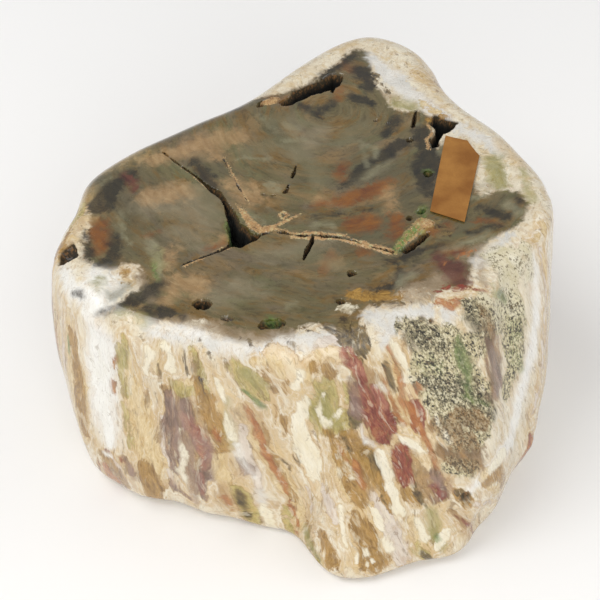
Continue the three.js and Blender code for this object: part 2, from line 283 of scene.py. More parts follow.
# The minerals in the stone, and the painted sheen of its polish, in the order in which one covers another.
# Each has two colours of the photo that its streaks mix, the pattern that mixes them, how far its edge wanders in mm,
# how soft its edge is in mm, how strong the thin brown line round it is, and how fully it covers the stone.
MINERALS = {
    "frost": ((240, 238, 230), (254, 252, 247), "cloud", 4.0, 2.5, 0.0, 0.92),
    "mist": ((210, 208, 202), (238, 235, 228), "cloud", 4.0, 1.8, 0.1, 0.92),
    "stain": ((196, 158, 94), (226, 196, 140), "broad", 6.0, 4.0, 0.0, 0.6),
    # Painted sheen: a pale grey haze over parts of the dark top, standing in for the reflection of the polish.
    "painted_sheen": ((126, 114, 90), (152, 140, 114), "rings", 3.0, 3.6, 0.0, 0.7),
    "taupe": ((136, 116, 90), (184, 164, 136), "cloud", 3.0, 1.6, 0.2, 0.88),
    "peach": ((214, 180, 130), (242, 226, 192), "broad", 3.0, 0.5, 0.7, 0.9),
    "lavender": ((206, 190, 176), (238, 226, 210), "broad", 2.6, 0.6, 0.4, 0.93),
    "tan": ((198, 164, 104), (242, 222, 176), "fine", 4.4, 0.8, 0.5, 0.95),
    "clay": ((124, 92, 54), (186, 152, 100), "fine", 4.4, 0.8, 0.5, 0.92),
    "olive": ((142, 124, 56), (212, 194, 122), "fine", 4.0, 0.7, 0.5, 0.95),
    "ochre": ((130, 94, 40), (188, 146, 74), "fine", 4.0, 0.6, 0.5, 0.96),
    "salmon": ((156, 122, 82), (198, 164, 120), "rings", 4.0, 2.8, 0.0, 0.74),
    "rust": ((108, 62, 36), (146, 92, 36), "rings", 3.0, 2.0, 0.0, 0.92),
    "umber": ((62, 52, 38), (130, 110, 70), "fine", 3.0, 0.5, 0.2, 0.95),
    "slate": ((40, 38, 34), (64, 58, 46), "rings", 3.0, 1.4, 0.0, 0.93),
    "violet": ((90, 66, 56), (160, 128, 108), "fine", 3.2, 0.6, 0.4, 0.93),
    "maroon": ((78, 38, 36), (120, 72, 60), "rings", 2.6, 1.6, 0.1, 0.85),
    "crimson": ((112, 44, 36), (160, 80, 62), "fine", 2.6, 0.5, 0.4, 0.96),
    "rose": ((136, 74, 60), (194, 136, 112), "fine", 3.4, 1.1, 0.2, 0.85),
    "orange": ((148, 80, 38), (196, 132, 76), "fine", 2.6, 0.6, 0.3, 0.92),
    "speckle": ((148, 136, 98), (218, 204, 160), "cloud", 4.4, 0.8, 0.3, 0.97),
    "soot": ((66, 64, 50), (100, 94, 72), "cloud", 5.0, 2.0, 0.0, 0.9),
    "bark": ((104, 76, 42), (154, 116, 70), "broad", 5.0, 1.2, 0.2, 0.93),
    "sage": ((136, 142, 92), (182, 182, 134), "cloud", 5.0, 2.0, 0.0, 0.8),
    "plum": ((120, 96, 84), (176, 150, 136), "broad", 4.0, 1.6, 0.0, 0.62),
    "dots": ((208, 196, 156), (236, 228, 202), "cloud", 3.4, 1.2, 0.4, 0.95),
    "moss": ((110, 104, 76), (134, 126, 98), "cloud", 3.0, 2.8, 0.0, 0.65),
    "lime": ((130, 126, 64), (170, 162, 102), "cloud", 3.0, 2.0, 0.0, 0.84),
    "pale": ((134, 130, 102), (166, 160, 130), "rings", 2.0, 1.4, 0.0, 0.6),
    "cream": ((238, 226, 194), (250, 243, 222), "broad", 2.6, 0.6, 0.35, 0.93),
    "white": ((242, 238, 226), (252, 250, 243), "broad", 2.4, 0.8, 0.15, 0.9),
    "green": ((62, 86, 38), (122, 140, 78), "fine", 2.0, 1.0, 0.0, 0.88),
}

# Where the photo shows each mineral and the painted sheen: strokes of points across and down the photo, with the half
# width there.
STROKES = {
    "frost": (
        [(62, 272, 8), (72, 290, 12), (94, 296, 16), (102, 340, 18), (104, 400, 17), (110, 442, 10)],
        [(533, 258, 6), (538, 310, 9), (530, 360, 14), (520, 400, 14), (512, 436, 12), (490, 470, 8), (472, 486, 5)],
        [(96, 276, 12), (120, 288, 8), (110, 298, 7)],
    ),
    "mist": (
        [(150, 332, 8), (196, 338, 9), (240, 350, 8), (296, 342, 9), (340, 338, 8)],
        [(372, 56, 6), (392, 76, 14), (418, 98, 12), (446, 120, 8), (486, 140, 8), (500, 156, 6)],
        [(370, 318, 8), (396, 318, 9), (430, 310, 8)],
        [(480, 262, 8), (510, 236, 6)],
        [(228, 400, 4), (234, 430, 5), (240, 455, 8), (254, 480, 8), (262, 505, 5)],
        [(372, 322, 6), (390, 330, 7), (384, 346, 5)],
        [(440, 306, 5), (452, 318, 6)],
        [(214, 344, 6), (230, 360, 5)],
    ),
    "stain": (
        [(214, 372, 12), (226, 430, 22), (238, 490, 18)],
        [(140, 420, 16), (150, 486, 14)],
        [(266, 430, 14), (286, 480, 16), (300, 540, 10)],
        [(346, 450, 20), (366, 500, 22), (366, 560, 18)],
        [(392, 366, 14), (414, 430, 16), (430, 480, 12)],
        [(300, 370, 12), (320, 400, 18)],
        [(440, 500, 14), (440, 540, 12)],
        [(496, 482, 8)],
    ),
    # Where the painted sheen of the polish lies on the top.
    "painted_sheen": (
        [(150, 205, 18), (190, 202, 24), (208, 224, 14)],
        [(300, 150, 18), (322, 130, 12)],
        [(180, 232, 12), (206, 250, 8)],
        [(330, 240, 8), (270, 254, 12)],
        [(440, 190, 5), (500, 186, 4)],
        [(212, 300, 12), (236, 288, 16), (256, 290, 10)],
    ),
    "taupe": (
        [(160, 316, 4), (190, 322, 6), (222, 330, 7), (256, 338, 6), (290, 333, 5)],
        [(392, 302, 9), (420, 292, 12), (446, 278, 9)],
        [(140, 276, 6), (150, 300, 4)],
        [(484, 246, 4), (462, 256, 6)],
        [(396, 100, 6), (384, 90, 4)],
        [(484, 250, 2.4), (480, 276, 3), (486, 300, 2)],
    ),
    "peach": (
        [(270, 352, 8), (286, 362, 12), (296, 378, 10), (310, 362, 9), (330, 352, 7), (346, 356, 5)],
        [(306, 400, 5), (302, 430, 12), (310, 462, 14), (318, 492, 8)],
        [(330, 442, 4), (336, 470, 5), (344, 500, 4)],
        [(412, 440, 6), (426, 470, 5)],
        [(400, 345, 4), (406, 372, 6), (410, 398, 4)],
        [(424, 428, 4), (434, 448, 5), (446, 474, 4)],
        [(140, 420, 9), (150, 456, 8)],
        [(240, 404, 3), (256, 440, 4), (268, 466, 4)],
        [(300, 500, 4), (314, 536, 5)],
    ),
    "lavender": (
        [(366, 484, 4), (378, 504, 8), (392, 536, 12), (402, 562, 9)],
        [(308, 488, 2), (311, 512, 4)],
        [(322, 482, 3), (329, 504, 7), (334, 522, 4)],
        [(244, 428, 5), (247, 450, 7), (256, 484, 6)],
        [(108, 450, 4), (118, 466, 5), (126, 484, 4)],
        [(62, 300, 1.5), (63, 350, 2), (70, 410, 2)],
        [(322, 344, 6), (340, 338, 4)],
        [(165, 418, 3), (165, 446, 4), (169, 474, 4), (178, 492, 3)],
        [(207, 432, 2.5), (210, 460, 3), (209, 484, 3)],
        [(548, 290, 3), (546, 350, 3), (538, 420, 3)],
        [(476, 502, 3), (492, 504, 4), (508, 498, 3)],
        [(362, 424, 3), (366, 438, 5), (378, 446, 3)],
        [(541, 250, 3), (545, 310, 3), (543, 360, 4), (534, 410, 5)],
    ),
    "tan": (
        [(69, 312, 6), (72, 345, 12), (76, 381, 20), (80, 413, 14), (84, 440, 5)],
        [(126, 344, 5), (128, 366, 11), (134, 392, 13), (142, 424, 17), (150, 456, 16), (156, 488, 11)],
        [(216, 448, 8), (222, 476, 10), (228, 496, 7)],
        [(244, 404, 4), (262, 440, 9), (280, 480, 12), (298, 524, 9)],
        [(258, 362, 5), (270, 360, 6), (278, 376, 4)],
        [(306, 384, 4), (309, 368, 3), (322, 354, 2.4), (334, 350, 2)],
        [(310, 540, 4), (324, 566, 5)],
        [(408, 484, 6), (416, 506, 6)],
        [(410, 520, 4), (418, 546, 7)],
        [(486, 474, 7), (500, 488, 11)],
        [(541, 222, 3), (544, 262, 3), (547, 330, 2.5)],
        [(418, 72, 4), (430, 80, 4)],
        [(424, 104, 5), (436, 112, 5)],
        [(160, 342, 3), (156, 372, 5)],
        [(536, 236, 3), (528, 244, 3)],
        [(549, 300, 4), (547, 350, 4), (541, 400, 5)],
        [(328, 440, 3), (336, 468, 4), (348, 498, 4)],
        [(180, 384, 5), (196, 386, 5)],
    ),
    "clay": (
        [(176, 388, 6), (186, 408, 15), (190, 436, 21), (192, 464, 20), (194, 488, 11)],
        [(350, 352, 3), (366, 376, 11), (378, 412, 16), (384, 438, 10)],
        [(400, 448, 8), (406, 474, 12), (424, 486, 14), (440, 492, 10)],
        [(104, 454, 7), (114, 468, 11), (126, 486, 8)],
        [(240, 498, 5), (248, 522, 6)],
        [(158, 420, 3), (160, 440, 3)],
        [(452, 514, 4), (466, 526, 6)],
    ),
    "olive": (
        [(124, 340, 5), (121, 354, 8), (124, 376, 6), (126, 396, 4)],
        [(124, 404, 3), (124, 424, 3), (130, 448, 3)],
        [(174, 383, 5), (184, 394, 8), (196, 392, 7)],
        [(196, 352, 4), (200, 376, 7), (206, 400, 8)],
        [(230, 362, 6), (240, 374, 14), (254, 388, 16), (264, 400, 7)],
        [(324, 384, 12), (320, 408, 17), (332, 424, 17), (348, 420, 12)],
        [(344, 386, 5), (348, 400, 8)],
        [(366, 452, 8), (376, 468, 8), (384, 486, 5)],
        [(240, 490, 7), (252, 520, 10)],
        [(413, 548, 5), (427, 556, 8)],
        [(282, 508, 4), (290, 532, 6)],
        [(300, 548, 4), (318, 562, 4)],
        [(420, 228, 5), (434, 222, 5)],
        [(500, 292, 4), (512, 300, 4)],
    ),
    "ochre": (
        [(332, 432, 8), (342, 450, 13), (354, 478, 14), (360, 502, 9)],
        [(352, 438, 11), (368, 454, 13), (382, 482, 10), (392, 508, 6)],
        [(324, 534, 6), (331, 562, 8)],
        [(283, 418, 4), (284, 434, 4)],
        [(284, 382, 3), (288, 391, 3)],
        [(297, 446, 2), (302, 462, 3)],
        [(315, 361, 3.4), (315, 370, 3)],
        [(329, 368, 3), (334, 374, 3)],
        [(271, 388, 3), (274, 424, 3)],
        [(352, 294, 8), (378, 297, 9), (398, 298, 6)],
        [(144, 468, 10), (153, 486, 14), (156, 498, 10)],
        [(196, 380, 5), (206, 402, 10), (214, 424, 11), (221, 450, 8)],
        [(488, 480, 7), (498, 474, 9), (504, 484, 7)],
        [(114, 354, 1.6), (114, 390, 2)],
        [(460, 490, 6), (470, 502, 6)],
        [(400, 486, 4), (410, 498, 7), (416, 506, 4)],
        [(127, 270, 3), (129, 281, 3)],
        [(306, 516, 3), (314, 544, 4)],
        [(430, 120, 4), (442, 116, 4)],
        [(262, 370, 1.4), (272, 396, 1.6)],
        [(260, 424, 3), (276, 462, 4), (290, 500, 4)],
        [(354, 514, 6), (366, 540, 16), (376, 566, 13)],
        [(212, 398, 4), (220, 420, 6), (226, 446, 5)],
        [(166, 388, 3), (172, 396, 4)],
        [(73, 332, 6), (77, 362, 9), (80, 395, 11), (84, 430, 7)],
        [(346, 440, 6), (364, 470, 9), (372, 490, 5)],
    ),
    "salmon": (
        [(166, 300, 8), (178, 282, 12), (194, 286, 14)],
        [(196, 142, 9), (222, 134, 10), (214, 154, 7)],
        [(214, 244, 3), (228, 241, 4)],
        [(328, 260, 8), (340, 262, 6)],
        [(170, 252, 6), (168, 266, 5)],
        [(218, 484, 5), (226, 500, 8), (232, 510, 6)],
        [(384, 192, 7), (392, 208, 7)],
        [(250, 412, 3), (266, 444, 5), (276, 478, 5)],
        [(447, 478, 9), (436, 494, 9), (426, 482, 7)],
        [(458, 516, 6), (470, 532, 8), (474, 546, 4)],
        [(250, 186, 7), (262, 200, 6)],
        [(318, 196, 5), (330, 204, 4)],
        [(358, 366, 5), (370, 378, 8), (382, 390, 5)],
        [(150, 160, 10), (190, 148, 14), (236, 136, 14)],
        [(232, 182, 8), (250, 200, 10)],
        [(150, 196, 12), (186, 190, 12)],
    ),
    "rust": (
        [(101, 226, 9), (100, 240, 11), (98, 250, 7)],
        [(343, 166, 7), (338, 176, 6)],
        [(336, 202, 7), (352, 198, 11), (372, 190, 11), (388, 182, 6)],
        [(352, 224, 12), (368, 222, 12)],
        [(312, 207, 2), (334, 203, 4)],
        [(398, 218, 8), (398, 234, 9)],
        [(364, 251, 6)],
        [(480, 221, 5), (494, 222, 5)],
        [(446, 252, 7), (462, 250, 6)],
        [(206, 250, 3), (228, 243, 4)],
        [(344, 62, 5), (352, 70, 5)],
        [(339, 88, 3), (338, 98, 3)],
        [(270, 98, 3), (286, 102, 4)],
        [(147, 236, 3), (158, 231, 2)],
        [(330, 256, 5), (322, 270, 4)],
        [(430, 228, 6), (446, 226, 6)],
    ),
    "umber": (
        [(343, 322, 9), (353, 334, 14), (360, 350, 9)],
        [(298, 327, 1.4), (310, 331, 1.6), (322, 327, 1.4), (336, 330, 1.4)],
        [(240, 338, 1.2), (262, 346, 1.3), (284, 341, 1.2), (298, 348, 1.2)],
        [(350, 384, 4), (355, 404, 6), (356, 424, 6)],
        [(384, 362, 2.4), (391, 378, 4.5), (398, 392, 3)],
        [(391, 400, 1.2), (396, 412, 2.2), (399, 424, 1.2)],
        [(181, 353, 2), (184, 364, 3), (186, 374, 2)],
        [(478, 302, 5), (487, 316, 8), (491, 332, 8), (494, 346, 6)],
        [(424, 384, 5), (440, 394, 6)],
        [(372, 305, 3), (392, 303, 3), (408, 306, 2)],
        [(285, 461, 1.1), (291, 472, 1.2)],
        [(412, 486, 3), (420, 500, 3), (424, 508, 2)],
        [(462, 488, 4), (468, 500, 4)],
        [(374, 75, 4), (381, 84, 4)],
        [(386, 88, 4), (393, 92, 4)],
        [(240, 492, 3), (248, 518, 4)],
        [(374, 456, 5), (380, 474, 5)],
        [(420, 552, 4), (432, 558, 5)],
        [(158, 364, 1.2), (161, 374, 1.6), (162, 384, 1)],
        [(200, 342, 1), (208, 353, 1.4), (213, 361, 1)],
        [(180, 440, 2), (181, 456, 2.5)],
        [(354, 355, 2), (362, 361, 3)],
        [(432, 319, 2), (434, 321, 1)],
        [(298, 455, 2), (302, 468, 2)],
        [(345, 438, 2.4), (352, 452, 2.4)],
        [(378, 486, 2.4), (386, 500, 2.4)],
        [(200, 380, 2), (206, 396, 2.4)],
        [(434, 220, 5), (446, 232, 6)],
    ),
    "slate": (
        [(98, 208, 14), (110, 190, 12), (130, 176, 8)],
        [(86, 232, 4), (88, 256, 6)],
        [(117, 236, 8), (112, 260, 8), (100, 266, 5)],
        [(338, 187, 3), (360, 170, 5), (380, 157, 8), (404, 143, 10)],
        [(420, 132, 9), (430, 160, 12), (428, 190, 9)],
        [(300, 106, 5), (318, 114, 7), (332, 104, 6)],
        [(314, 217, 1.4), (345, 213, 1.8), (378, 209, 1.4)],
        [(521, 200, 6), (506, 217, 6), (484, 208, 7)],
        [(98, 313, 1.6), (116, 307, 4), (134, 299, 8), (150, 292, 9), (162, 284, 6)],
        [(146, 308, 6), (164, 312, 7), (182, 318, 3)],
        [(72, 294, 2), (80, 292, 4)],
        [(356, 97, 10), (372, 104, 6)],
        [(360, 70, 11), (368, 86, 10)],
        [(354, 54, 7), (338, 68, 6), (320, 78, 5)],
        [(392, 262, 6), (414, 256, 8), (440, 244, 5)],
        [(403, 272, 4), (390, 284, 4), (370, 290, 4)],
        [(470, 232, 4), (500, 226, 3)],
        [(240, 104, 3), (210, 114, 3), (180, 128, 3)],
        [(396, 120, 8), (386, 134, 6)],
        [(193, 160, 5), (204, 172, 8), (214, 184, 7)],
        [(416, 170, 8), (424, 186, 8)],
        [(426, 148, 8), (418, 164, 8)],
    ),
    "violet": (
        [(172, 394, 5), (174, 425, 8), (176, 455, 8), (179, 474, 4)],
        [(188, 402, 5), (192, 425, 7), (202, 452, 7), (203, 478, 6), (206, 500, 3)],
        [(170, 480, 3), (178, 491, 4), (190, 498, 3)],
        [(242, 458, 3), (247, 466, 7), (249, 474, 5)],
        [(354, 384, 4), (356, 400, 6), (358, 416, 4)],
        [(124, 458, 3), (130, 472, 5)],
        [(434, 470, 5), (440, 484, 7), (436, 498, 5)],
    ),
    "maroon": (
        [(436, 258, 6), (452, 268, 12), (462, 280, 10)],
        [(456, 254, 5)],
        [(499, 372, 4), (503, 384, 4)],
        [(352, 380, 4), (358, 402, 5)],
        [(124, 176, 5), (134, 190, 4)],
    ),
    "crimson": (
        [(364, 386, 6), (375, 408, 15), (385, 428, 12), (386, 440, 6)],
        [(348, 350, 3), (358, 366, 4), (364, 380, 4)],
        [(398, 450, 7), (402, 466, 10), (406, 486, 6)],
        [(436, 290, 2.4), (462, 287, 3), (484, 290, 3)],
        [(434, 486, 5), (442, 494, 5)],
        [(104, 448, 1.4), (114, 452, 1.4), (124, 462, 2)],
        [(98, 458, 1.6), (100, 472, 2)],
        [(530, 436, 4), (525, 456, 6), (516, 474, 4)],
        [(456, 516, 1.4), (468, 524, 2), (474, 536, 1.6)],
        [(410, 402, 4), (416, 416, 8), (419, 432, 6)],
    ),
    "rose": (
        [(186, 418, 4), (195, 430, 9), (203, 448, 9), (204, 466, 6)],
        [(198, 472, 4), (204, 494, 3)],
        [(346, 352, 4), (360, 372, 5)],
        [(372, 390, 4), (384, 404, 5)],
    ),
    "orange": (
        [(418, 379, 4), (418, 391, 4)],
        [(240, 398, 1.6), (256, 430, 3), (270, 458, 4), (281, 486, 3)],
        [(256, 432, 1.4), (276, 470, 3), (290, 508, 3), (298, 534, 2.4)],
        [(390, 348, 2), (400, 372, 2.4), (408, 398, 2.4)],
        [(436, 300, 4), (452, 306, 5), (468, 302, 4)],
        [(378, 372, 2), (390, 394, 2.4), (402, 424, 2)],
        [(446, 262, 2), (472, 252, 2.5)],
        [(358, 462, 3), (364, 486, 3)],
        [(223, 498, 4), (234, 510, 4)],
        [(533, 432, 3), (527, 452, 4), (518, 472, 3)],
        [(337, 442, 2.4), (346, 464, 3)],
        [(106, 466, 7), (112, 476, 11), (118, 484, 7)],
        [(113, 357, 2), (113.5, 378, 2.4), (113.5, 392, 2)],
        [(212, 426, 2.4), (217, 440, 3.4)],
        [(402, 398, 4), (412, 414, 4), (422, 438, 4), (437, 466, 2.6)],
    ),
    "speckle": (
        [(406, 326, 6), (420, 330, 13), (440, 340, 18), (466, 348, 18), (484, 346, 14)],
        [(424, 364, 19), (448, 376, 24), (474, 396, 22)],
        [(430, 392, 11), (446, 412, 20), (464, 432, 24), (480, 436, 16)],
        [(450, 462, 11), (472, 466, 13)],
        [(484, 400, 14), (490, 428, 9)],
        [(472, 308, 10), (490, 316, 15), (510, 314, 22)],
        [(514, 332, 20), (516, 360, 16), (506, 390, 13)],
    ),
    "soot": (
        [(408, 330, 7), (424, 336, 13), (438, 344, 12)],
        [(470, 310, 8), (482, 326, 10)],
        [(488, 404, 7), (494, 416, 6)],
        [(436, 366, 6), (450, 382, 7)],
        [(424, 380, 9), (446, 389, 14), (472, 400, 12), (488, 410, 8)],
    ),
    "bark": (
        [(434, 426, 10), (460, 418, 13), (486, 424, 10)],
        [(440, 450, 9), (464, 452, 17), (476, 468, 8)],
        [(484, 308, 6), (492, 330, 9)],
        [(492, 346, 12), (497, 368, 18), (495, 390, 12)],
        [(446, 430, 10), (470, 440, 12), (480, 462, 9)],
    ),
    "sage": (
        [(496, 296, 9), (514, 308, 13), (518, 334, 10)],
        [(424, 362, 8), (440, 372, 7)],
        [(456, 348, 6), (462, 372, 6)],
        [(512, 352, 8), (520, 372, 5)],
    ),
    "plum": (
        [(486, 344, 5), (494, 362, 10), (499, 384, 9), (492, 394, 5)],
        [(178, 402, 6), (184, 430, 11), (190, 470, 11), (196, 500, 6)],
        [(207, 440, 5), (210, 480, 6)],
        [(354, 388, 5), (356, 410, 6)],
        [(128, 466, 5), (134, 480, 4)],
        [(436, 482, 6), (448, 492, 5)],
    ),
    "dots": (
        [(500, 258, 16), (514, 266, 17), (504, 292, 19), (516, 308, 14)],
        [(526, 248, 9), (530, 274, 9)],
        [(484, 298, 8), (500, 318, 9)],
    ),
    "moss": (
        [(250, 150, 12), (286, 140, 12), (312, 168, 12), (318, 184, 8)],
        [(270, 120, 8), (300, 122, 10)],
        [(340, 142, 8), (366, 126, 8)],
        [(216, 214, 8), (196, 184, 7)],
        [(300, 250, 8), (350, 268, 8)],
        [(110, 296, 7), (130, 286, 6)],
    ),
    "lime": (
        [(494, 160, 10), (498, 182, 12)],
        [(396, 102, 6), (412, 106, 8)],
        [(524, 170, 4), (532, 200, 4)],
        [(244, 372, 6), (256, 386, 5)],
        [(124, 352, 4), (123, 366, 4)],
        [(116, 314, 3), (122, 314, 3)],
        [(138, 318, 3), (145, 326, 3)],
        [(160, 268, 5), (156, 252, 4)],
        [(308, 532, 5), (316, 556, 6)],
        [(430, 512, 6), (434, 536, 7), (444, 548, 5)],
        [(226, 400, 2.4), (230, 430, 3), (234, 448, 2)],
        [(96, 286, 4), (104, 280, 4)],
        [(322, 392, 9), (321, 412, 12), (336, 422, 8)],
        [(498, 166, 9), (500, 180, 8)],
    ),
    "pale": (
        [(148, 238, 3), (154, 250, 6), (160, 266, 6), (160, 279, 2)],
        [(121, 214, 2.5), (125, 236, 4), (132, 242, 3)],
        [(357, 140, 1.4), (365, 150, 2.4), (368, 164, 3)],
        [(366, 146, 3), (376, 146, 4), (377, 156, 4)],
        [(364, 177, 2.4), (380, 168, 2.4), (392, 160, 2)],
        [(261, 115, 1.6), (276, 131, 2.4)],
        [(284, 124, 1.4), (298, 129, 1.4)],
        [(284, 139, 3), (306, 140, 3)],
        [(247, 213, 3), (258, 216, 3.4), (264, 223, 2)],
        [(236, 158, 1.2), (274, 158, 1.4)],
        [(316, 224, 3), (330, 227, 3)],
        [(396, 284, 5), (412, 274, 5)],
        [(444, 250, 3), (470, 240, 5), (490, 235, 4)],
        [(112, 176, 1.2), (96, 190, 1.4)],
        [(434, 120, 1.2), (437, 132, 1.2), (432, 142, 1.2)],
        [(414, 112, 1.2), (415, 124, 1.6)],
        [(438, 152, 4), (448, 145, 4)],
        [(270, 186, 5), (280, 190, 4)],
        [(440, 202, 4), (484, 196, 4)],
        [(508, 204, 8), (518, 212, 7)],
        [(288, 305, 3), (296, 303, 3)],
    ),
    "cream": (
        [(305, 396, 3), (300, 420, 10), (306, 450, 13), (314, 476, 9)],
        [(328, 386, 1.4), (317, 396, 2.4), (319, 416, 3.4), (330, 425, 3.4), (340, 412, 2.4)],
        [(336, 454, 1.4), (345, 466, 3), (354, 476, 2)],
        [(383, 452, 4), (386, 476, 6), (396, 504, 6), (404, 516, 3)],
        [(352, 532, 1.4), (357, 562, 2)],
        [(338, 505, 3), (346, 548, 3)],
        [(480, 350, 2), (479, 370, 2.6), (482, 388, 2)],
        [(436, 412, 1.4), (448, 440, 2)],
        [(130, 344, 1.2), (131, 372, 2), (128, 394, 1.4)],
        [(183, 430, 2), (184, 450, 3.4), (182, 472, 5), (187, 484, 3)],
        [(216, 380, 1.4), (226, 410, 3), (234, 440, 4)],
        [(376, 572, 2), (402, 570, 3)],
        [(366, 500, 3), (376, 520, 5), (388, 552, 6)],
        [(492, 486, 2), (500, 482, 2)],
        [(360, 536, 1.8), (366, 556, 1.4)],
        [(394, 340, 4), (402, 360, 5), (408, 380, 3)],
        [(416, 520, 4), (424, 538, 6)],
        [(446, 534, 8), (438, 548, 6)],
        [(262, 506, 6), (274, 530, 6)],
        [(300, 372, 5), (296, 388, 4)],
        [(150, 350, 6), (146, 372, 4)],
        [(166, 346, 5), (172, 372, 5)],
        [(396, 436, 3), (408, 445, 5), (420, 453, 4)],
        [(356, 538, 2.4), (358, 546, 2.6)],
        [(366, 548, 3), (368, 554, 2.4)],
        [(374, 562, 2.4), (370, 566, 2)],
        [(338, 470, 2), (342, 476, 2)],
        [(502, 456, 10), (492, 468, 7)],
        [(338, 310, 4), (350, 308, 4)],
    ),
    "white": (
        [(92, 300, 7), (98, 340, 10), (104, 400, 10), (110, 444, 6)],
        [(236, 446, 3), (242, 456, 3), (252, 478, 2.4)],
        [(376, 384, 1.4), (386, 388, 1.6)],
        [(362, 428, 1.6), (366, 440, 3), (378, 447, 2)],
        [(104, 451, 3), (110, 454, 3)],
    ),
    "green": (
        [(238, 388, 1.6), (250, 396, 3), (262, 408, 3.4)],
        [(69, 336, 2), (69.5, 350, 2.4)],
        [(458, 396, 3), (474, 400, 4), (488, 404, 3)],
        [(436, 536, 2), (438, 541, 2)],
        [(426, 172, 1.6), (431, 172, 1.4)],
        [(228, 222, 3), (232, 242, 4)],
        [(264, 320, 2), (278, 318, 3)],
        [(420, 222, 2), (424, 216, 2)],
        [(152, 262, 2), (160, 280, 1.6)],
        [(396, 250, 4), (406, 239, 6), (416, 229, 6)],
        [(420, 212, 3), (424, 206, 3)],
        [(460, 340, 6), (464, 362, 8), (467, 392, 5)],
        [(498, 292, 4), (506, 302, 4)],
    ),
}

# The minerals round which agate bands run.
BANDED = ("peach", "lavender", "tan", "clay", "olive", "ochre", "violet", "crimson", "rose", "orange",
          "cream", "white")

# Patches of the sides that the photo doesn't show: broad ones, and the narrower ones that lie in each.
HIDDEN_BROAD = {"tan": 6, "clay": 5, "ochre": 4, "olive": 4, "peach": 4, "speckle": 1, "lavender": 2, "frost": 3}
HIDDEN_NARROW = {"ochre": 5, "violet": 3, "rose": 3, "crimson": 1, "orange": 2, "umber": 2, "lavender": 4,
                 "cream": 6, "olive": 3, "tan": 5, "clay": 3, "plum": 3, "green": 1}
HIDDEN_PATCHES = 50
HIDDEN_NARROW_EACH = 5
HIDDEN_TURNS = (0.03, 0.575)
HIDDEN_DRIFT = 0.02
HIDDEN_STAIN = 2.0

# How the grain of the sides leans from the left of the block to its right, in mm across for each mm down.
GRAIN_LEAN = 0.34
GRAIN_LEAN_FROM = -45
GRAIN_LEAN_TO = 10

# Washes of the dark heart: how fine each one is, and its colour.
HEART_WASHES = (
    (0.75, (118, 103, 84)),
    (1.0, (112, 110, 76)),
    (1.35, (142, 116, 78)),
    (2.2, (120, 90, 44)),
    (0.5, (96, 90, 70)),
)

# The middle of the wood's growth rings on the top, and how much longer its streaks are along them than across.
PITH = (11, 50)
RING_STRETCH = 2.4


def closed_curve(points, turns):
    """The smooth closed curve through the stations, for shares of a whole turn."""
    count = len(points)
    place = np.mod(turns, 1.0) * count
    first = np.floor(place).astype(int)
    share = (place - first)[:, None]
    before, start, end, after = (points[(first + step) % count] for step in (-1, 0, 1, 2))
    leave = (end - before) / 2
    arrive = (after - start) / 2
    bend = 3 * (end - start) - 2 * leave - arrive
    twist = 2 * (start - end) + leave + arrive
    return start + leave * share + bend * share**2 + twist * share**3


def grain_points(turns, heights):
    """Where straight grain lines pass the heights, before the side swells."""
    rim = closed_curve(STATIONS[:, 0:2], turns)
    foot = closed_curve(STATIONS[:, 2:4], turns)
    return foot + (rim - foot) * (heights / HEIGHT)[:, None]


def flute_heights(turns, heights):
    fade = np.clip((HEIGHT - heights) / FLUTE_FADE, 0, 1)
    total = np.zeros(len(turns))
    for count, drift, start, tall in FLUTES:
        total += tall * np.sin(2 * math.pi * (count * turns + drift * heights / HEIGHT + start))
    return total * fade


def lump_heights(points):
    total = np.zeros(len(points))
    for middle, reach, out in LUMPS:
        apart = np.linalg.norm(points - np.array(middle), axis=1) / reach
        total += out * np.exp(-(apart**2))
    return total


def side_points(turns, heights, insets):
    """Points of the side, drawn in by the insets where the rim and the foot are rounded."""
    base = grain_points(turns, heights)
    along = grain_points(turns + LOOK_ASIDE, heights) - grain_points(turns - LOOK_ASIDE, heights)
    facing = np.stack([along[:, 1], -along[:, 0]], axis=1)
    facing /= np.linalg.norm(facing, axis=1)[:, None]
    share = heights / HEIGHT
    swell = closed_curve(STATIONS[:, 4:5], turns)[:, 0] * 4 * share * (1 - share)
    base = base + facing * swell[:, None]
    points = np.column_stack([base, heights])
    out = lump_heights(points) + flute_heights(turns, heights) - insets
    points[:, :2] += facing * out[:, None]
    return points


def block_points(turns, rows):
    """Points of the whole block, for shares of a turn and rows from the foot's middle to the top's middle."""
    rounding = closed_curve(STATIONS[:, 5:6], turns)[:, 0]
    foot_angle = QUARTER * (1 - np.clip((rows - FOOT_CAP_ROWS) / FOOT_ROWS, 0, 1))
    climb = np.clip((rows - FIRST_SIDE_ROW) / SIDE_ROWS, 0, 1)
    rim_angle = QUARTER * np.clip((rows - FIRST_RIM_ROW) / RIM_ROWS, 0, 1)
    heights = FOOT_ROUNDING * (1 - np.sin(foot_angle))
    heights = heights + (HEIGHT - rounding - FOOT_ROUNDING) * climb + rounding * np.sin(rim_angle)
    insets = FOOT_ROUNDING * (1 - np.cos(foot_angle)) + rounding * (1 - np.cos(rim_angle))
    points = side_points(turns, heights, insets)
    foot_share = np.clip(rows / FOOT_CAP_ROWS, 0, 1)[:, None]
    top_share = np.clip((ROWS - rows) / TOP_ROWS, 0, 1)[:, None]
    points[:, :2] = FOOT_MIDDLE + (points[:, :2] - FOOT_MIDDLE) * foot_share
    points[:, :2] = TOP_MIDDLE + (points[:, :2] - TOP_MIDDLE) * top_share
    return points


def photo_ray(across, down):
    """The direction in which the photo's camera sees a pixel."""
    half = PHOTO_SIZE / 2
    aside = VIEW_RIGHT * ((across - half) / FOCAL_PIXELS)
    above = VIEW_UP * ((half - down) / FOCAL_PIXELS)
    return (VIEW_FORWARD + aside + above).normalized()


def on_top(across, down):
    """The point of the top's level that the photo shows at a pixel."""
    ray = photo_ray(across, down)
    return VIEW_PLACE + ray * ((HEIGHT - VIEW_PLACE.z) / ray.z)


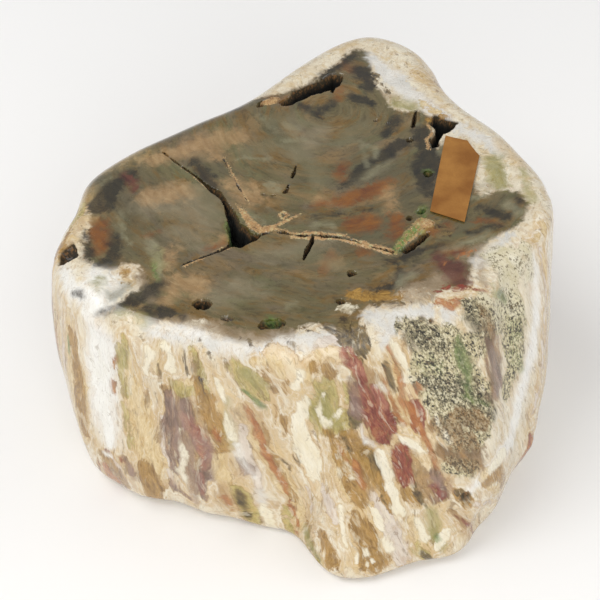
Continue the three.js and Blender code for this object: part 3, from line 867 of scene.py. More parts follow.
def on_stone(tree, across, down):
    """The point of the stone that the photo shows at a pixel, or its nearest point where the pixel misses it."""
    ray = photo_ray(across, down)
    hit = tree.ray_cast(VIEW_PLACE, ray)[0]
    if hit is None:
        passed = [tree.find_nearest(VIEW_PLACE + ray * (VIEW_DISTANCE + step)) for step in range(-120, 121, 6)]
        hit = min(passed, key=lambda found: found[3])[0]
    return hit


def near_points(points, corners, margin):
    """Which points lie in the box round some corners, widened by a margin."""
    low = np.min(corners, axis=0) - margin
    high = np.max(corners, axis=0) + margin
    return np.flatnonzero(np.all((points > low) & (points < high), axis=1))


def distance_along(points, start, end):
    """How far points lie from a straight piece, and the share of its length where each is nearest to it."""
    along = end - start
    share = np.clip((points - start) @ along / max(float(along @ along), 1e-6), 0, 1)
    offset = points - start - share[:, None] * along
    return np.sqrt(np.einsum("ij,ij->i", offset, offset)), share


def reach_inside(points, stroke):
    """How far inside a stroke each point lies: the stroke's half width there less the distance to its middle."""
    best = np.full(len(points), -FAR)
    near = near_points(points, [place for place, _ in stroke], FAR)
    for (start, start_half), (end, end_half) in zip(stroke, stroke[1:] or stroke):
        apart, share = distance_along(points[near], start, end)
        best[near] = np.maximum(best[near], start_half + (end_half - start_half) * share - apart)
    return best


def flat_stroke(line):
    return [(np.array((x, y)), half) for x, y, half in line]


def inside_outline(points, outline):
    """How far inside a closed outline each point lies in plan, negative outside it."""
    result = np.full(len(points), -FAR)
    chosen = near_points(points, outline, FAR)
    near = points[chosen]
    nearest = np.full(len(near), FAR)
    inside = np.zeros(len(near), bool)
    corners = [np.array(corner, float) for corner in outline]
    for start, end in zip(corners, corners[1:] + corners[:1]):
        nearest = np.minimum(nearest, distance_along(near, start, end)[0])
        crosses = (start[1] > near[:, 1]) != (end[1] > near[:, 1])
        rise = end[1] - start[1] or 1e-9
        edge = start[0] + (end[0] - start[0]) * (near[:, 1] - start[1]) / rise
        inside ^= crosses & (near[:, 0] < edge)
    result[chosen] = np.where(inside, nearest, -nearest)
    return result


def rough(points, size, seed):
    """Smooth random numbers from -1 to 1, one for each point, with swells of a size in mm."""
    spots = points / size + seed * 17.3
    cells = np.floor(spots).astype(np.int64)
    shares = spots - cells
    shares = shares * shares * (3 - 2 * shares)
    total = np.zeros(len(points))
    for corner in itertools.product((0, 1), repeat=3):
        weight = np.prod(np.where(corner, shares, 1 - shares), axis=1)
        mixed_up = (cells + corner) @ LATTICE_PRIMES + seed * SEED_PRIME
        mixed_up = (mixed_up ^ (mixed_up >> 13)) * SCATTER_PRIME & LATTICE_LIMIT
        scattered = (mixed_up ^ (mixed_up >> 15)) * SCATTER_PRIME & LATTICE_LIMIT
        total += weight * (scattered / LATTICE_LIMIT * 2 - 1)
    return total


def smooth_step(values, low, high):
    share = np.clip((values - low) / (high - low), 0, 1)
    return share * share * (3 - 2 * share)


def mesh_points(mesh):
    flat = np.empty(len(mesh.vertices) * 3)
    mesh.vertices.foreach_get("co", flat)
    return flat.reshape(-1, 3)


def set_mesh_points(mesh, points):
    mesh.vertices.foreach_set("co", points.ravel())
    mesh.update()


def select_none():
    bpy.ops.object.select_all(action="DESELECT")


def start_block():
    """A ball whose segments and rings move to their places on the block."""
    select_none()
    bpy.ops.mesh.primitive_uv_sphere_add(segments=SEGMENTS, ring_count=ROWS, radius=1)
    block = bpy.context.object
    block.name = "petrified_wood_polished"
    ball = mesh_points(block.data)
    turns = np.mod(np.arctan2(ball[:, 1], ball[:, 0]) / (2 * math.pi), 1.0)
    turns = turns + FRONT_SHARE * np.sin(2 * math.pi * (turns - 0.25)) / (2 * math.pi)
    falls = np.arccos(np.clip(ball[:, 2], -1, 1)) / math.pi
    rows = np.round((1 - falls) * ROWS)
    set_mesh_points(block.data, block_points(turns, rows))
    return block


def feature_reach(plan):
    """How far inside the nearest crack, crust, cavity or hole of the top each point lies in plan."""
    reach = np.full(len(plan), -FAR)
    for line, _ in list(CRACKS.values()) + list(CRUSTS.values()):
        reach = np.maximum(reach, reach_inside(plan, flat_stroke(line)))
    for outline, _ in CAVITIES.values():
        reach = np.maximum(reach, inside_outline(plan, outline))
    for x, y, along, _, _, _ in HOLES:
        reach = np.maximum(reach, along - np.linalg.norm(plan - np.array((x, y)), axis=1))
    return reach


def side_hole_places(mesh):
    """The middles of the holes of the rim and side, on the stone."""
    tree = BVHTree.FromPolygons([tuple(v.co) for v in mesh.vertices], [tuple(face.vertices) for face in mesh.polygons])
    return [np.array(on_stone(tree, *pixel)) for pixel, _, _ in SIDE_HOLES]


def divide_near_features(block, side_holes):
    """Give the stone a finer mesh round its cracks, cavities and holes."""
    mesh = block.data
    middles = np.empty(len(mesh.polygons) * 3)
    mesh.polygons.foreach_get("center", middles)
    middles = middles.reshape(-1, 3)
    near = (middles[:, 2] > HEIGHT - 0.01) & (feature_reach(middles[:, :2]) > -1.6)
    for middle, (_, reach, _) in zip(side_holes, SIDE_HOLES):
        near |= np.linalg.norm(middles - middle, axis=1) < reach * 1.5 + 1
    mesh.vertices.foreach_set("select", np.zeros(len(mesh.vertices), bool))
    mesh.edges.foreach_set("select", np.zeros(len(mesh.edges), bool))
    mesh.polygons.foreach_set("select", near)
    bpy.context.tool_settings.mesh_select_mode = (False, False, True)
    bpy.ops.object.mode_set(mode="EDIT")
    bpy.ops.mesh.subdivide(number_cuts=2)
    bpy.ops.mesh.select_face_by_sides(number=4, type="GREATER", extend=False)
    bpy.ops.mesh.quads_convert_to_tris(ngon_method="CLIP")
    bpy.ops.object.mode_set(mode="OBJECT")


def crack_depths(points, plan):
    """How far the cracks cut down, and how far inside a crack each point lies."""
    wander = 1 + 0.5 * rough(points, 2.2, 3)
    depths = np.zeros(len(points))
    inside = np.full(len(points), -FAR)
    for line, depth in CRACKS.values():
        stroke = [(place, half + 0.15) for place, half in flat_stroke(line)]
        reach = reach_inside(plan, stroke) + 0.35 * (wander - 1)
        cut = depth * np.sqrt(smooth_step(reach, 0, 0.8)) * np.clip(wander, 0.6, 1.3)
        depths = np.maximum(depths, cut)
        inside = np.maximum(inside, reach)
    return depths, inside


def cavity_depths(points, plan):
    """How far the cavities cut down, with ragged walls and a rough floor."""
    ragged = 0.9 * rough(points, 3.5, 5) + 0.45 * rough(points, 1.3, 6)
    floor = 1 + 0.3 * rough(points, 4, 7) + 0.16 * rough(points, 1.5, 8)
    depths = np.zeros(len(points))
    for outline, depth in CAVITIES.values():
        reach = inside_outline(plan, outline) + 0.2 + 0.7 * ragged
        depths = np.maximum(depths, depth * smooth_step(reach, 0, CAVITY_WALL) * floor)
    return depths


def hole_depths(points, plan):
    ragged = 1 + 0.25 * rough(points, 1.4, 9)
    depths = np.zeros(len(points))
    for x, y, along, across, turn, depth in HOLES:
        angle = math.radians(turn)
        offset = plan - np.array((x, y))
        ahead = offset @ np.array((math.cos(angle), math.sin(angle)))
        aside = offset @ np.array((-math.sin(angle), math.cos(angle)))
        ring = np.sqrt((ahead / along) ** 2 + (aside / across) ** 2) * ragged
        depths = np.maximum(depths, depth * np.sqrt(np.clip(1 - ring**2, 0, 1)))
    return depths


def crust_heights(points, plan):
    """Knobbly mineral crusts that stand on the top beside the cracks."""
    knobs = 0.55 + 0.8 * rough(points, 1.7, 11) + 0.5 * rough(points, 0.8, 12)
    heights = np.zeros(len(points))
    inside = np.full(len(points), -FAR)
    for line, tall in CRUSTS.values():
        reach = reach_inside(plan, flat_stroke(line)) + 0.45 * rough(points, 2.4, 13) - 0.12
        heights = np.maximum(heights, tall * smooth_step(reach, -0.2, 1) * np.clip(knobs, 0, 1.4))
        inside = np.maximum(inside, reach)
    return heights, inside


def carve_top(points):
    """Cut and raise the top's features, and return how deep each point went and where cracks and crusts are."""
    chosen = points[:, 2] > HEIGHT - 0.01
    near = np.flatnonzero(chosen)
    top = points[near]
    plan = top[:, :2]
    cracks, crack_inside = crack_depths(top, plan)
    cavities = cavity_depths(top, plan)
    holes = hole_depths(top, plan)
    crusts, crust_inside = crust_heights(top, plan)
    depths = np.maximum(np.maximum(cracks, cavities), holes)
    polish = 0.12 * rough(top, 22, 14) - 0.12
    lifted = np.where(depths < 0.3, crusts, 0)
    points[near, 2] += lifted + polish - depths
    walls = smooth_step(depths, 1, 4)
    lean = 0.5 * walls
    points[near, 0] += lean * rough(top, 1.6, 15)
    points[near, 1] += lean * rough(top, 1.6, 16)
    deep = np.zeros(len(points))
    deep[near] = depths
    crack = np.full(len(points), -FAR)
    crack[near] = crack_inside
    crust = np.full(len(points), -FAR)
    crust[near] = crust_inside
    return deep, crack, crust


def dent_side(points, facings, side_holes, deep):
    """Press the small holes of the rim and side into the stone."""
    for middle, (_, reach, depth) in zip(side_holes, SIDE_HOLES):
        apart = np.linalg.norm(points - middle, axis=1)
        near = np.flatnonzero(apart < reach * 1.4)
        ragged = 1 + 0.3 * rough(points[near], reach * 0.5, 21)
        ring = apart[near] / reach * ragged
        cut = depth * np.sqrt(np.clip(1 - ring**2, 0, 1))
        inward = -facings[near].mean(axis=0)
        inward /= np.linalg.norm(inward)
        points[near] += cut[:, None] * inward
        deep[near] = np.maximum(deep[near], cut)


def grain_lean(points):
    """How far the grain leans at each point, in mm across for each mm down."""
    front = smooth_step(-points[:, 1], -10, 30)
    return GRAIN_LEAN * front * smooth_step(points[:, 0], GRAIN_LEAN_FROM, GRAIN_LEAN_TO)


def grain_space(points):
    """Places with the lean of the grain taken out, so that a streak along the grain runs straight down."""
    straight = points.copy()
    straight[:, 0] -= grain_lean(points) * (HEIGHT - points[:, 2])
    return straight


def ring_space(points):
    """Places in which noise changes fast across the growth rings and slowly along them."""
    offset = points[:, :2] - np.array(PITH)
    radius = np.linalg.norm(offset, axis=1) + HEIGHT - points[:, 2]
    return np.column_stack([radius, offset / RING_STRETCH])


def wander_points(points):
    """Places moved about a little, so that the minerals' edges aren't smooth ovals."""
    stretched = points * np.array((1, 1, 0.45))
    moved = points.copy()
    for axis in range(3):
        moved[:, axis] += 1.3 * rough(stretched, 7, 31 + axis) + 0.7 * rough(stretched, 2.6, 41 + axis)
    return moved


def photo_strokes(tree):
    """The minerals' strokes, from pixels of the photo to places and half widths on the stone."""
    placed = {}
    for mineral, strokes in STROKES.items():
        placed[mineral] = [
            [(np.array(on_stone(tree, across, down)), half / PIXELS_PER_MM) for across, down, half in stroke]
            for stroke in strokes
        ]
    return placed


def hidden_stroke(turn, drift, low, tall, half):
    """A stroke up the side of the stone, thickest a third of the way up."""
    up = np.array((0, 0.35, 0.7, 1))
    heights = np.clip(low + tall * up, 1, HEIGHT - 5)
    places = side_points(turn + drift * up, heights, np.zeros(4))
    return list(zip(places, half * np.array((0.3, 1, 0.8, 0.25))))


def add_hidden_strokes(placed):
    """Minerals of the sides that the photo doesn't show, laid along the grain."""
    draw = random.Random(12)
    for _ in range(HIDDEN_PATCHES):
        broad = draw.choices(list(HIDDEN_BROAD), list(HIDDEN_BROAD.values()))[0]
        turn = draw.uniform(*HIDDEN_TURNS)
        low = draw.uniform(0, 64)
        tall = draw.uniform(28, 64)
        half = draw.uniform(4.5, 9)
        drift = draw.uniform(-HIDDEN_DRIFT, HIDDEN_DRIFT)
        placed[broad].append(hidden_stroke(turn, drift, low, tall, half))
        placed["stain"].append(hidden_stroke(turn, drift, low, tall, HIDDEN_STAIN * half))
        for _ in range(HIDDEN_NARROW_EACH):
            narrow = draw.choices(list(HIDDEN_NARROW), list(HIDDEN_NARROW.values()))[0]
            aside = draw.uniform(-0.014, 0.014)
            start = low + draw.uniform(0, 0.6) * tall
            reach = draw.uniform(0.3, 0.7) * tall
            placed[narrow].append(hidden_stroke(turn + aside, drift, start, reach, draw.uniform(1.2, 3.2)))


def heart_inside(points):
    """How far inside the wood's dark heart each point lies, on the top and on the sawn foot."""
    result = np.full(len(points), -FAR)
    upper = np.flatnonzero(points[:, 2] > HEIGHT - 30)
    below = np.clip(HEIGHT - 1 - points[upper, 2], 0, None)
    edge = [tuple(on_top(across, down)[:2]) for across, down in HEART_EDGE]
    top = inside_outline(points[upper, :2], edge) - 0.35 * below
    result[upper] = np.minimum(top, 9 - below)
    lower = np.flatnonzero(points[:, 2] < FOOT_ROUNDING)
    foot_edge = closed_curve(STATIONS[:, 2:4], np.linspace(0, 1, 40, endpoint=False))
    result[lower] = inside_outline(points[lower, :2], foot_edge) - 8 - 3 * np.clip(points[lower, 2] - 0.5, 0, None)
    return result


def store(mesh, name, values):
    """Keep a number for each point of a mesh, for its material to read."""
    kind = "FLOAT_VECTOR" if values.ndim == 2 else "FLOAT"
    field = mesh.attributes.new(name, kind, "POINT")
    part = "vector" if values.ndim == 2 else "value"
    field.data.foreach_set(part, np.ascontiguousarray(values, dtype=np.float32).ravel())


def petrified_wood():
    block = start_block()
    mesh = block.data
    side_holes = side_hole_places(mesh)
    divide_near_features(block, side_holes)
    smooth = mesh_points(mesh)
    facings = np.array([v.normal for v in mesh.vertices])
    tree = BVHTree.FromPolygons(
        [tuple(p) for p in smooth], [tuple(face.vertices) for face in mesh.polygons]
    )
    grain = grain_space(smooth)
    wandered = wander_points(smooth)
    placed = photo_strokes(tree)
    add_hidden_strokes(placed)

    points = smooth.copy()
    deep, crack, crust = carve_top(points)
    carved = points.copy()
    side = smooth_step(HEIGHT - smooth[:, 2], 2, 12) * smooth_step(smooth[:, 2], 0.5, 6)
    along = grain * np.array((1, 1, 0.22))
    relief = 0.42 * rough(along, 6, 51) + 0.2 * rough(along, 2.6, 52)
    points += facings * (relief * side)[:, None]
    dent_side(points, facings, side_holes, deep)
    set_mesh_points(mesh, points * MM)

    store(mesh, "grain", grain_space(carved) / 10)
    store(mesh, "rings", ring_space(carved) / 10)
    store(mesh, "deep", deep)
    store(mesh, "crack", crack)
    store(mesh, "crust", crust)
    store(mesh, "heart", heart_inside(smooth))
    nearest = np.full(len(points), -FAR)
    for mineral, strokes in placed.items():
        inside = np.full(len(points), -FAR)
        for stroke in strokes:
            inside = np.maximum(inside, reach_inside(wandered, stroke))
        store(mesh, mineral, inside)
        if mineral in BANDED:
            nearest = np.maximum(nearest, inside)
    store(mesh, "banding", nearest)

    select_none()
    block.select_set(True)
    bpy.context.view_layer.objects.active = block
    bpy.ops.object.shade_smooth_by_angle(angle=math.radians(50))
    block.data.materials.append(stone_material())
    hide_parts("petrified_wood")
    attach(block, "root")
    return block


def place(tree, kind, inputs=None, **settings):
    """Add a node, choose its settings, and give each named input a value or a link."""
    made = tree.nodes.new(kind)
    for name, value in settings.items():
        setattr(made, name, value)
    for name, value in (inputs or {}).items():
        socket = made.inputs[name]
        if isinstance(value, bpy.types.NodeSocket):
            tree.links.new(value, socket)
        else:
            socket.default_value = value
    return made


def mixed(tree, share, low, high):
    """Mix two colours by a share."""
    made = tree.nodes.new("ShaderNodeMix")
    made.data_type = "RGBA"
    for index, value in ((0, share), (6, low), (7, high)):
        if isinstance(value, bpy.types.NodeSocket):
            tree.links.new(value, made.inputs[index])
        else:
            made.inputs[index].default_value = value
    return made.outputs[2]


def sum_of(tree, operation, first, second, clamp=False):
    return place(tree, "ShaderNodeMath", {0: first, 1: second}, operation=operation, use_clamp=clamp).outputs[0]


def field(tree, name):
    """A number that the mesh keeps for each point."""
    return place(tree, "ShaderNodeAttribute", attribute_name=name).outputs["Fac"]


def new_group(name, inputs, outputs):
    tree = bpy.data.node_groups.new(name, "ShaderNodeTree")
    for label, kind in inputs:
        tree.interface.new_socket(label, in_out="INPUT", socket_type=kind)
    for label, kind in outputs:
        tree.interface.new_socket(label, in_out="OUTPUT", socket_type=kind)
    return tree, tree.nodes.new("NodeGroupInput"), tree.nodes.new("NodeGroupOutput")


def use_group(tree, group, inputs):
    made = tree.nodes.new("ShaderNodeGroup")
    made.node_tree = group
    for name, value in inputs.items():
        if isinstance(value, bpy.types.NodeSocket):
            tree.links.new(value, made.inputs[name])
        else:
            made.inputs[name].default_value = value
    return made


def streak_group():
    """Noise drawn out along the grain, spread to run from 0 to 1."""
    tree, given, result = new_group(
        "grain_streaks",
        [("Grain", "NodeSocketVector"), ("Scale", "NodeSocketFloat"), ("Stretch", "NodeSocketFloat"),
         ("Detail", "NodeSocketFloat"), ("Spread", "NodeSocketFloat")],
        [("Value", "NodeSocketFloat")],
    )
    share = sum_of(tree, "DIVIDE", 1.0, given.outputs["Stretch"])
    squeeze = place(tree, "ShaderNodeCombineXYZ", {"X": 1.0, "Y": 1.0, "Z": share}).outputs[0]
    drawn = place(tree, "ShaderNodeVectorMath", {0: given.outputs["Grain"], 1: squeeze}, operation="MULTIPLY")
    waves = place(
        tree,
        "ShaderNodeTexNoise",
        {"Vector": drawn.outputs[0], "Scale": given.outputs["Scale"], "Detail": given.outputs["Detail"],
         "Roughness": 0.6, "Distortion": 0.25},
    )
    low = sum_of(tree, "SUBTRACT", 0.5, given.outputs["Spread"])
    high = sum_of(tree, "ADD", 0.5, given.outputs["Spread"])
    spread = place(tree, "ShaderNodeMapRange", {"Value": waves.outputs["Fac"], "From Min": low, "From Max": high})
    tree.links.new(spread.outputs["Result"], result.inputs["Value"])
    return tree


def edge_group():
    """A patch's mask and the thin line round it, from how far inside it a point lies."""
    tree, given, result = new_group(
        "patch_edge",
        [("Inside", "NodeSocketFloat"), ("Wobble", "NodeSocketFloat"), ("Reach", "NodeSocketFloat"),
         ("Softness", "NodeSocketFloat"), ("Line Width", "NodeSocketFloat")],
        [("Mask", "NodeSocketFloat"), ("Line", "NodeSocketFloat"), ("Band", "NodeSocketFloat")],
    )
    centred = sum_of(tree, "SUBTRACT", given.outputs["Wobble"], 0.5)
    moved = sum_of(tree, "MULTIPLY", centred, given.outputs["Reach"])
    inside = sum_of(tree, "ADD", given.outputs["Inside"], moved)
    low = sum_of(tree, "MULTIPLY", given.outputs["Softness"], -1.0)
    mask = place(
        tree,
        "ShaderNodeMapRange",
        {"Value": inside, "From Min": low, "From Max": given.outputs["Softness"]},
        interpolation_type="SMOOTHSTEP",
    )
    apart = sum_of(tree, "ABSOLUTE", inside, 0.0)
    line = place(
        tree,
        "ShaderNodeMapRange",
        {"Value": apart, "From Min": given.outputs["Line Width"], "From Max": 0.0},
        interpolation_type="SMOOTHSTEP",
    )
    tree.links.new(mask.outputs["Result"], result.inputs["Mask"])
    tree.links.new(line.outputs["Result"], result.inputs["Line"])
    tree.links.new(sum_of(tree, "PINGPONG", inside, 1.0), result.inputs["Band"])
    return tree


def vein_group():
    """Thin lines along the grain, where stretched noise passes its middle."""
    tree, given, result = new_group(
        "grain_veins",
        [("Grain", "NodeSocketVector"), ("Scale", "NodeSocketFloat"), ("Stretch", "NodeSocketFloat"),
         ("Width", "NodeSocketFloat")],
        [("Line", "NodeSocketFloat")],
    )
    share = sum_of(tree, "DIVIDE", 1.0, given.outputs["Stretch"])
    squeeze = place(tree, "ShaderNodeCombineXYZ", {"X": 1.0, "Y": 1.0, "Z": share}).outputs[0]
    drawn = place(tree, "ShaderNodeVectorMath", {0: given.outputs["Grain"], 1: squeeze}, operation="MULTIPLY")
    waves = place(
        tree,
        "ShaderNodeTexNoise",
        {"Vector": drawn.outputs[0], "Scale": given.outputs["Scale"], "Detail": 2.0, "Distortion": 0.6},
    )
    centred = sum_of(tree, "SUBTRACT", waves.outputs["Fac"], 0.5)
    apart = sum_of(tree, "ABSOLUTE", centred, 0.0)
    line = place(tree, "ShaderNodeMapRange", {"Value": apart, "From Min": given.outputs["Width"], "From Max": 0.0})
    tree.links.new(line.outputs["Result"], result.inputs["Line"])
    return tree


def ramp(tree, value, low, high):
    """Ease a number from 0 to 1 between two values."""
    inputs = {"Value": value, "From Min": low, "From Max": high}
    return place(tree, "ShaderNodeMapRange", inputs, interpolation_type="SMOOTHSTEP").outputs["Result"]


def part_of(tree, value, share):
    return sum_of(tree, "MULTIPLY", value, share)


def swirled(tree, spots, squeeze):
    """Places moved about by two sizes of noise, drawn out by a squeeze, so that the streaks swirl."""
    for size, reach in ((0.9, 0.75), (2.9, 0.2)):
        squeezed = place(tree, "ShaderNodeVectorMath", {0: spots, 1: squeeze}, operation="MULTIPLY").outputs[0]
        noise = place(tree, "ShaderNodeTexNoise", {"Vector": squeezed, "Scale": size, "Detail": 2.0}).outputs["Color"]
        centred = place(
            tree, "ShaderNodeVectorMath", {0: noise, 1: (0.5, 0.5, 0.5)}, operation="SUBTRACT"
        ).outputs[0]
        spots = place(
            tree, "ShaderNodeVectorMath", {0: centred, 1: (reach, reach, reach), 2: spots}, operation="MULTIPLY_ADD"
        ).outputs[0]
    return spots


def stone_material():
    """Agate and quartz in the wood's place: every colour of the polished stone, with painted sheen on its top and
    painted shade in its cracks and hollows, its gloss and its fine relief.
    """
    look = bpy.data.materials.new("petrified_wood_stone")
    look.use_nodes = True
    tree = look.node_tree
    tree.nodes.clear()
    streaks, edges, veins = streak_group(), edge_group(), vein_group()
    straight = place(tree, "ShaderNodeAttribute", attribute_name="grain").outputs["Vector"]
    grain = swirled(tree, straight, (1.0, 1.0, 0.4))
    across_rings = place(tree, "ShaderNodeAttribute", attribute_name="rings").outputs["Vector"]
    rings = swirled(tree, across_rings, (1.0, 1.0, 1.0))

    def pattern(scale, stretch, detail, spread, spots=grain):
        values = {"Grain": spots, "Scale": scale, "Stretch": stretch, "Detail": detail, "Spread": spread}
        return use_group(tree, streaks, values).outputs["Value"]

    def edge(name, wobble, reach, softness, line=0.3):
        values = {"Inside": field(tree, name), "Wobble": wobble, "Reach": reach, "Softness": softness,
                  "Line Width": line}
        return use_group(tree, edges, values).outputs

    patterns = {
        "fine": pattern(6.0, 5.0, 6.0, 0.12),
        "broad": pattern(2.6, 4.0, 5.0, 0.14),
        "cloud": pattern(1.3, 1.6, 5.0, 0.17),
        "rings": pattern(3.2, 1.0, 6.0, 0.2, rings),
        "hair": pattern(19.0, 8.0, 3.0, 0.2),
    }
    wobble = pattern(4.0, 4.5, 6.0, 0.22)
    ripple = pattern(13.0, 2.0, 3.0, 0.25)

    rind = mixed(tree, patterns["cloud"], seen(240, 230, 206), seen(224, 208, 178))
    rind = mixed(tree, part_of(tree, ramp(tree, patterns["broad"], 0.45, 0.9), 0.5), rind, seen(208, 178, 124))
    bands = place(tree, "ShaderNodeMath", {0: sum_of(tree, "ADD", field(tree, "banding"), part_of(tree, wobble, 2.4)),
                                           1: 1.1}, operation="PINGPONG").outputs[0]
    band_share = part_of(tree, ramp(tree, field(tree, "banding"), -5.0, -0.5), ramp(tree, bands, 0.25, 0.9))
    rind = mixed(tree, part_of(tree, band_share, 0.55), rind, seen(210, 180, 134))
    warmed = part_of(tree, ramp(tree, field(tree, "banding"), -4.5, 0.5), ramp(tree, patterns["broad"], 0.1, 0.7))
    rind = mixed(tree, part_of(tree, warmed, 0.5), rind, seen(206, 172, 118))
    band_line = part_of(tree, ramp(tree, field(tree, "banding"), -4.0, -0.5), ramp(tree, bands, 0.22, 0.02))
    rind = mixed(tree, part_of(tree, band_line, 0.45), rind, seen(250, 244, 230))

    heart = mixed(tree, patterns["rings"], seen(94, 86, 58), seen(124, 111, 80))
    for scale, tint in HEART_WASHES:
        wash = ramp(tree, pattern(scale, 1.0, 4.0, 0.16, rings), 0.45, 1.0)
        heart = mixed(tree, part_of(tree, wash, 0.7), heart, seen(*tint))
    heart_lines = pattern(9.0, 1.0, 4.0, 0.16, rings)
    heart = mixed(tree, part_of(tree, ramp(tree, heart_lines, 0.55, 1.0), 0.4), heart, seen(66, 58, 42))

    heart_edge = edge("heart", wobble, 2.4, 0.9, 0.8)
    halo = ramp(tree, field(tree, "heart"), -4.0, 0.0)
    rind = mixed(tree, part_of(tree, halo, 0.35), rind, seen(214, 200, 178))
    shade = mixed(tree, heart_edge["Mask"], rind, heart)
    shade = mixed(tree, part_of(tree, heart_edge["Line"], 0.25), shade, seen(150, 127, 100))
    outside = sum_of(tree, "SUBTRACT", 1.0, heart_edge["Mask"])

    slivers = pattern(4.4, 7.0, 5.0, 0.22)
    fibrous = place(tree, "ShaderNodeVectorMath", {0: straight, 1: (1.0, 1.0, 0.5)}, operation="MULTIPLY").outputs[0]
    grains = place(tree, "ShaderNodeTexVoronoi", {"Vector": fibrous, "Scale": 22.0}).outputs["Color"]
    grain_value = place(tree, "ShaderNodeSeparateColor", {"Color": grains}).outputs[0]
    clumps = place(tree, "ShaderNodeTexNoise", {"Vector": straight, "Scale": 6.0, "Detail": 5.0, "Roughness": 0.75})
    clump = place(
        tree, "ShaderNodeMapRange", {"Value": clumps.outputs["Fac"], "From Min": 0.34, "From Max": 0.66}
    ).outputs["Result"]
    blur = place(tree, "ShaderNodeMapRange", {"Value": patterns["cloud"], "To Min": 0.4, "To Max": 2.0}).outputs["Result"]
    masks = {}
    for name, (first, second, mix, reach, softness, line, cover) in MINERALS.items():
        if name == "speckle":
            still = sum_of(tree, "MAXIMUM", masks["frost"], sum_of(tree, "MAXIMUM", masks["mist"], masks["peach"]))
            calm = sum_of(tree, "SUBTRACT", outside, part_of(tree, still, 0.75), clamp=True)
            pale_slivers = part_of(tree, ramp(tree, slivers, 0.64, 0.84), calm)
            shade = mixed(tree, part_of(tree, pale_slivers, 0.4), shade, seen(242, 230, 202))
            dark_slivers = part_of(tree, ramp(tree, slivers, 0.32, 0.1), calm)
            shade = mixed(tree, part_of(tree, dark_slivers, 0.55), shade, seen(118, 88, 50))
            tawny = part_of(tree, ramp(tree, patterns["fine"], 0.66, 1.0), calm)
            shade = mixed(tree, part_of(tree, tawny, 0.3), shade, seen(168, 124, 72))
        patch = edge(name, wobble, reach, part_of(tree, blur, softness))
        masks[name] = patch["Mask"]
        streaked = patterns[mix]
        if name in BANDED:
            streaked = sum_of(tree, "ADD", part_of(tree, streaked, 0.75), part_of(tree, patch["Band"], 0.25))
            fibres = part_of(tree, sum_of(tree, "SUBTRACT", patterns["hair"], 0.5), 0.35)
            streaked = sum_of(tree, "ADD", streaked, fibres, clamp=True)
        tint = mixed(tree, streaked, seen(*first), seen(*second))
        rimmed = mixed(tree, part_of(tree, patch["Line"], line), shade, seen(146, 112, 72))
        shown = place(tree, "ShaderNodeMapRange", {"Value": patterns["hair"], "To Min": cover, "To Max": cover * 0.85})
        shade = mixed(tree, part_of(tree, patch["Mask"], shown.outputs["Result"]), rimmed, tint)

    dense = sum_of(tree, "ADD", part_of(tree, patterns["cloud"], 0.35), part_of(tree, clump, 0.85))
    pepper = sum_of(tree, "ADD", part_of(tree, grain_value, 0.75), sum_of(tree, "SUBTRACT", dense, 0.5))
    smoother = sum_of(tree, "MAXIMUM", part_of(tree, masks["bark"], 0.28), part_of(tree, masks["plum"], 0.8))
    smoother = sum_of(tree, "MAXIMUM", smoother, part_of(tree, masks["green"], 0.7))
    grainy = sum_of(tree, "SUBTRACT", masks["speckle"], smoother, clamp=True)
    flecks = part_of(tree, ramp(tree, pepper, 0.44, 0.8), grainy)
    shade = mixed(tree, part_of(tree, flecks, 0.94), shade, seen(50, 46, 34))
    paler = sum_of(tree, "SUBTRACT", grainy, part_of(tree, masks["bark"], 0.4), clamp=True)
    light_flecks = part_of(tree, ramp(tree, pepper, 0.36, 0.12), paler)
    shade = mixed(tree, part_of(tree, light_flecks, 0.75), shade, seen(234, 224, 190))
    needles = use_group(tree, veins, {"Grain": straight, "Scale": 6.0, "Stretch": 1.5, "Width": 0.045})
    needle_share = part_of(tree, part_of(tree, needles.outputs["Line"], grainy), 0.5)
    shade = mixed(tree, needle_share, shade, seen(216, 202, 160))
    dots = part_of(tree, ramp(tree, pepper, 0.64, 0.88), masks["dots"])
    shade = mixed(tree, part_of(tree, dots, 0.78), shade, seen(106, 92, 60))

    hairs = part_of(tree, ramp(tree, patterns["hair"], 0.62, 1.0), outside)
    shade = mixed(tree, part_of(tree, hairs, 0.22), shade, seen(122, 98, 68))
    dark_veins = use_group(tree, veins, {"Grain": grain, "Scale": 2.4, "Stretch": 5.0, "Width": 0.008})
    shade = mixed(tree, part_of(tree, part_of(tree, dark_veins.outputs["Line"], outside), 0.4), shade, seen(136, 110, 78))

    crust = edge("crust", ripple, 1.5, 0.3)
    crust_colour_and_shade = mixed(tree, ripple, seen(166, 122, 80), seen(206, 172, 124))
    # Paler and darker spots of the crust, set by noise: partly its own mottling, partly painted highlights on its
    # knobs and painted shade in the crevices between them.
    crust_colour_and_shade = mixed(tree, ramp(tree, clump, 0.55, 0.95), crust_colour_and_shade, seen(206, 192, 142))
    crust_colour_and_shade = mixed(tree, ramp(tree, clump, 0.3, 0.05), crust_colour_and_shade, seen(104, 74, 42))
    green_crust = part_of(tree, masks["green"], ramp(tree, clump, 0.2, 0.7))
    crust_colour_and_shade = mixed(tree, part_of(tree, green_crust, 0.85), crust_colour_and_shade, seen(98, 128, 64))
    shade = mixed(tree, part_of(tree, crust["Mask"], 0.9), shade, crust_colour_and_shade)
    # Painted shade: the inside of each crack is painted dark.
    crack = edge("crack", ripple, 0.8, 0.15)
    shade = mixed(tree, crack["Mask"], shade, seen(56, 50, 42))
    deep = field(tree, "deep")
    wall = ramp(tree, deep, 0.3, 1.4)
    wall_tint = mixed(tree, ramp(tree, ripple, 0.4, 0.9), seen(72, 64, 50), seen(150, 110, 70))
    shade = mixed(tree, wall, shade, wall_tint)
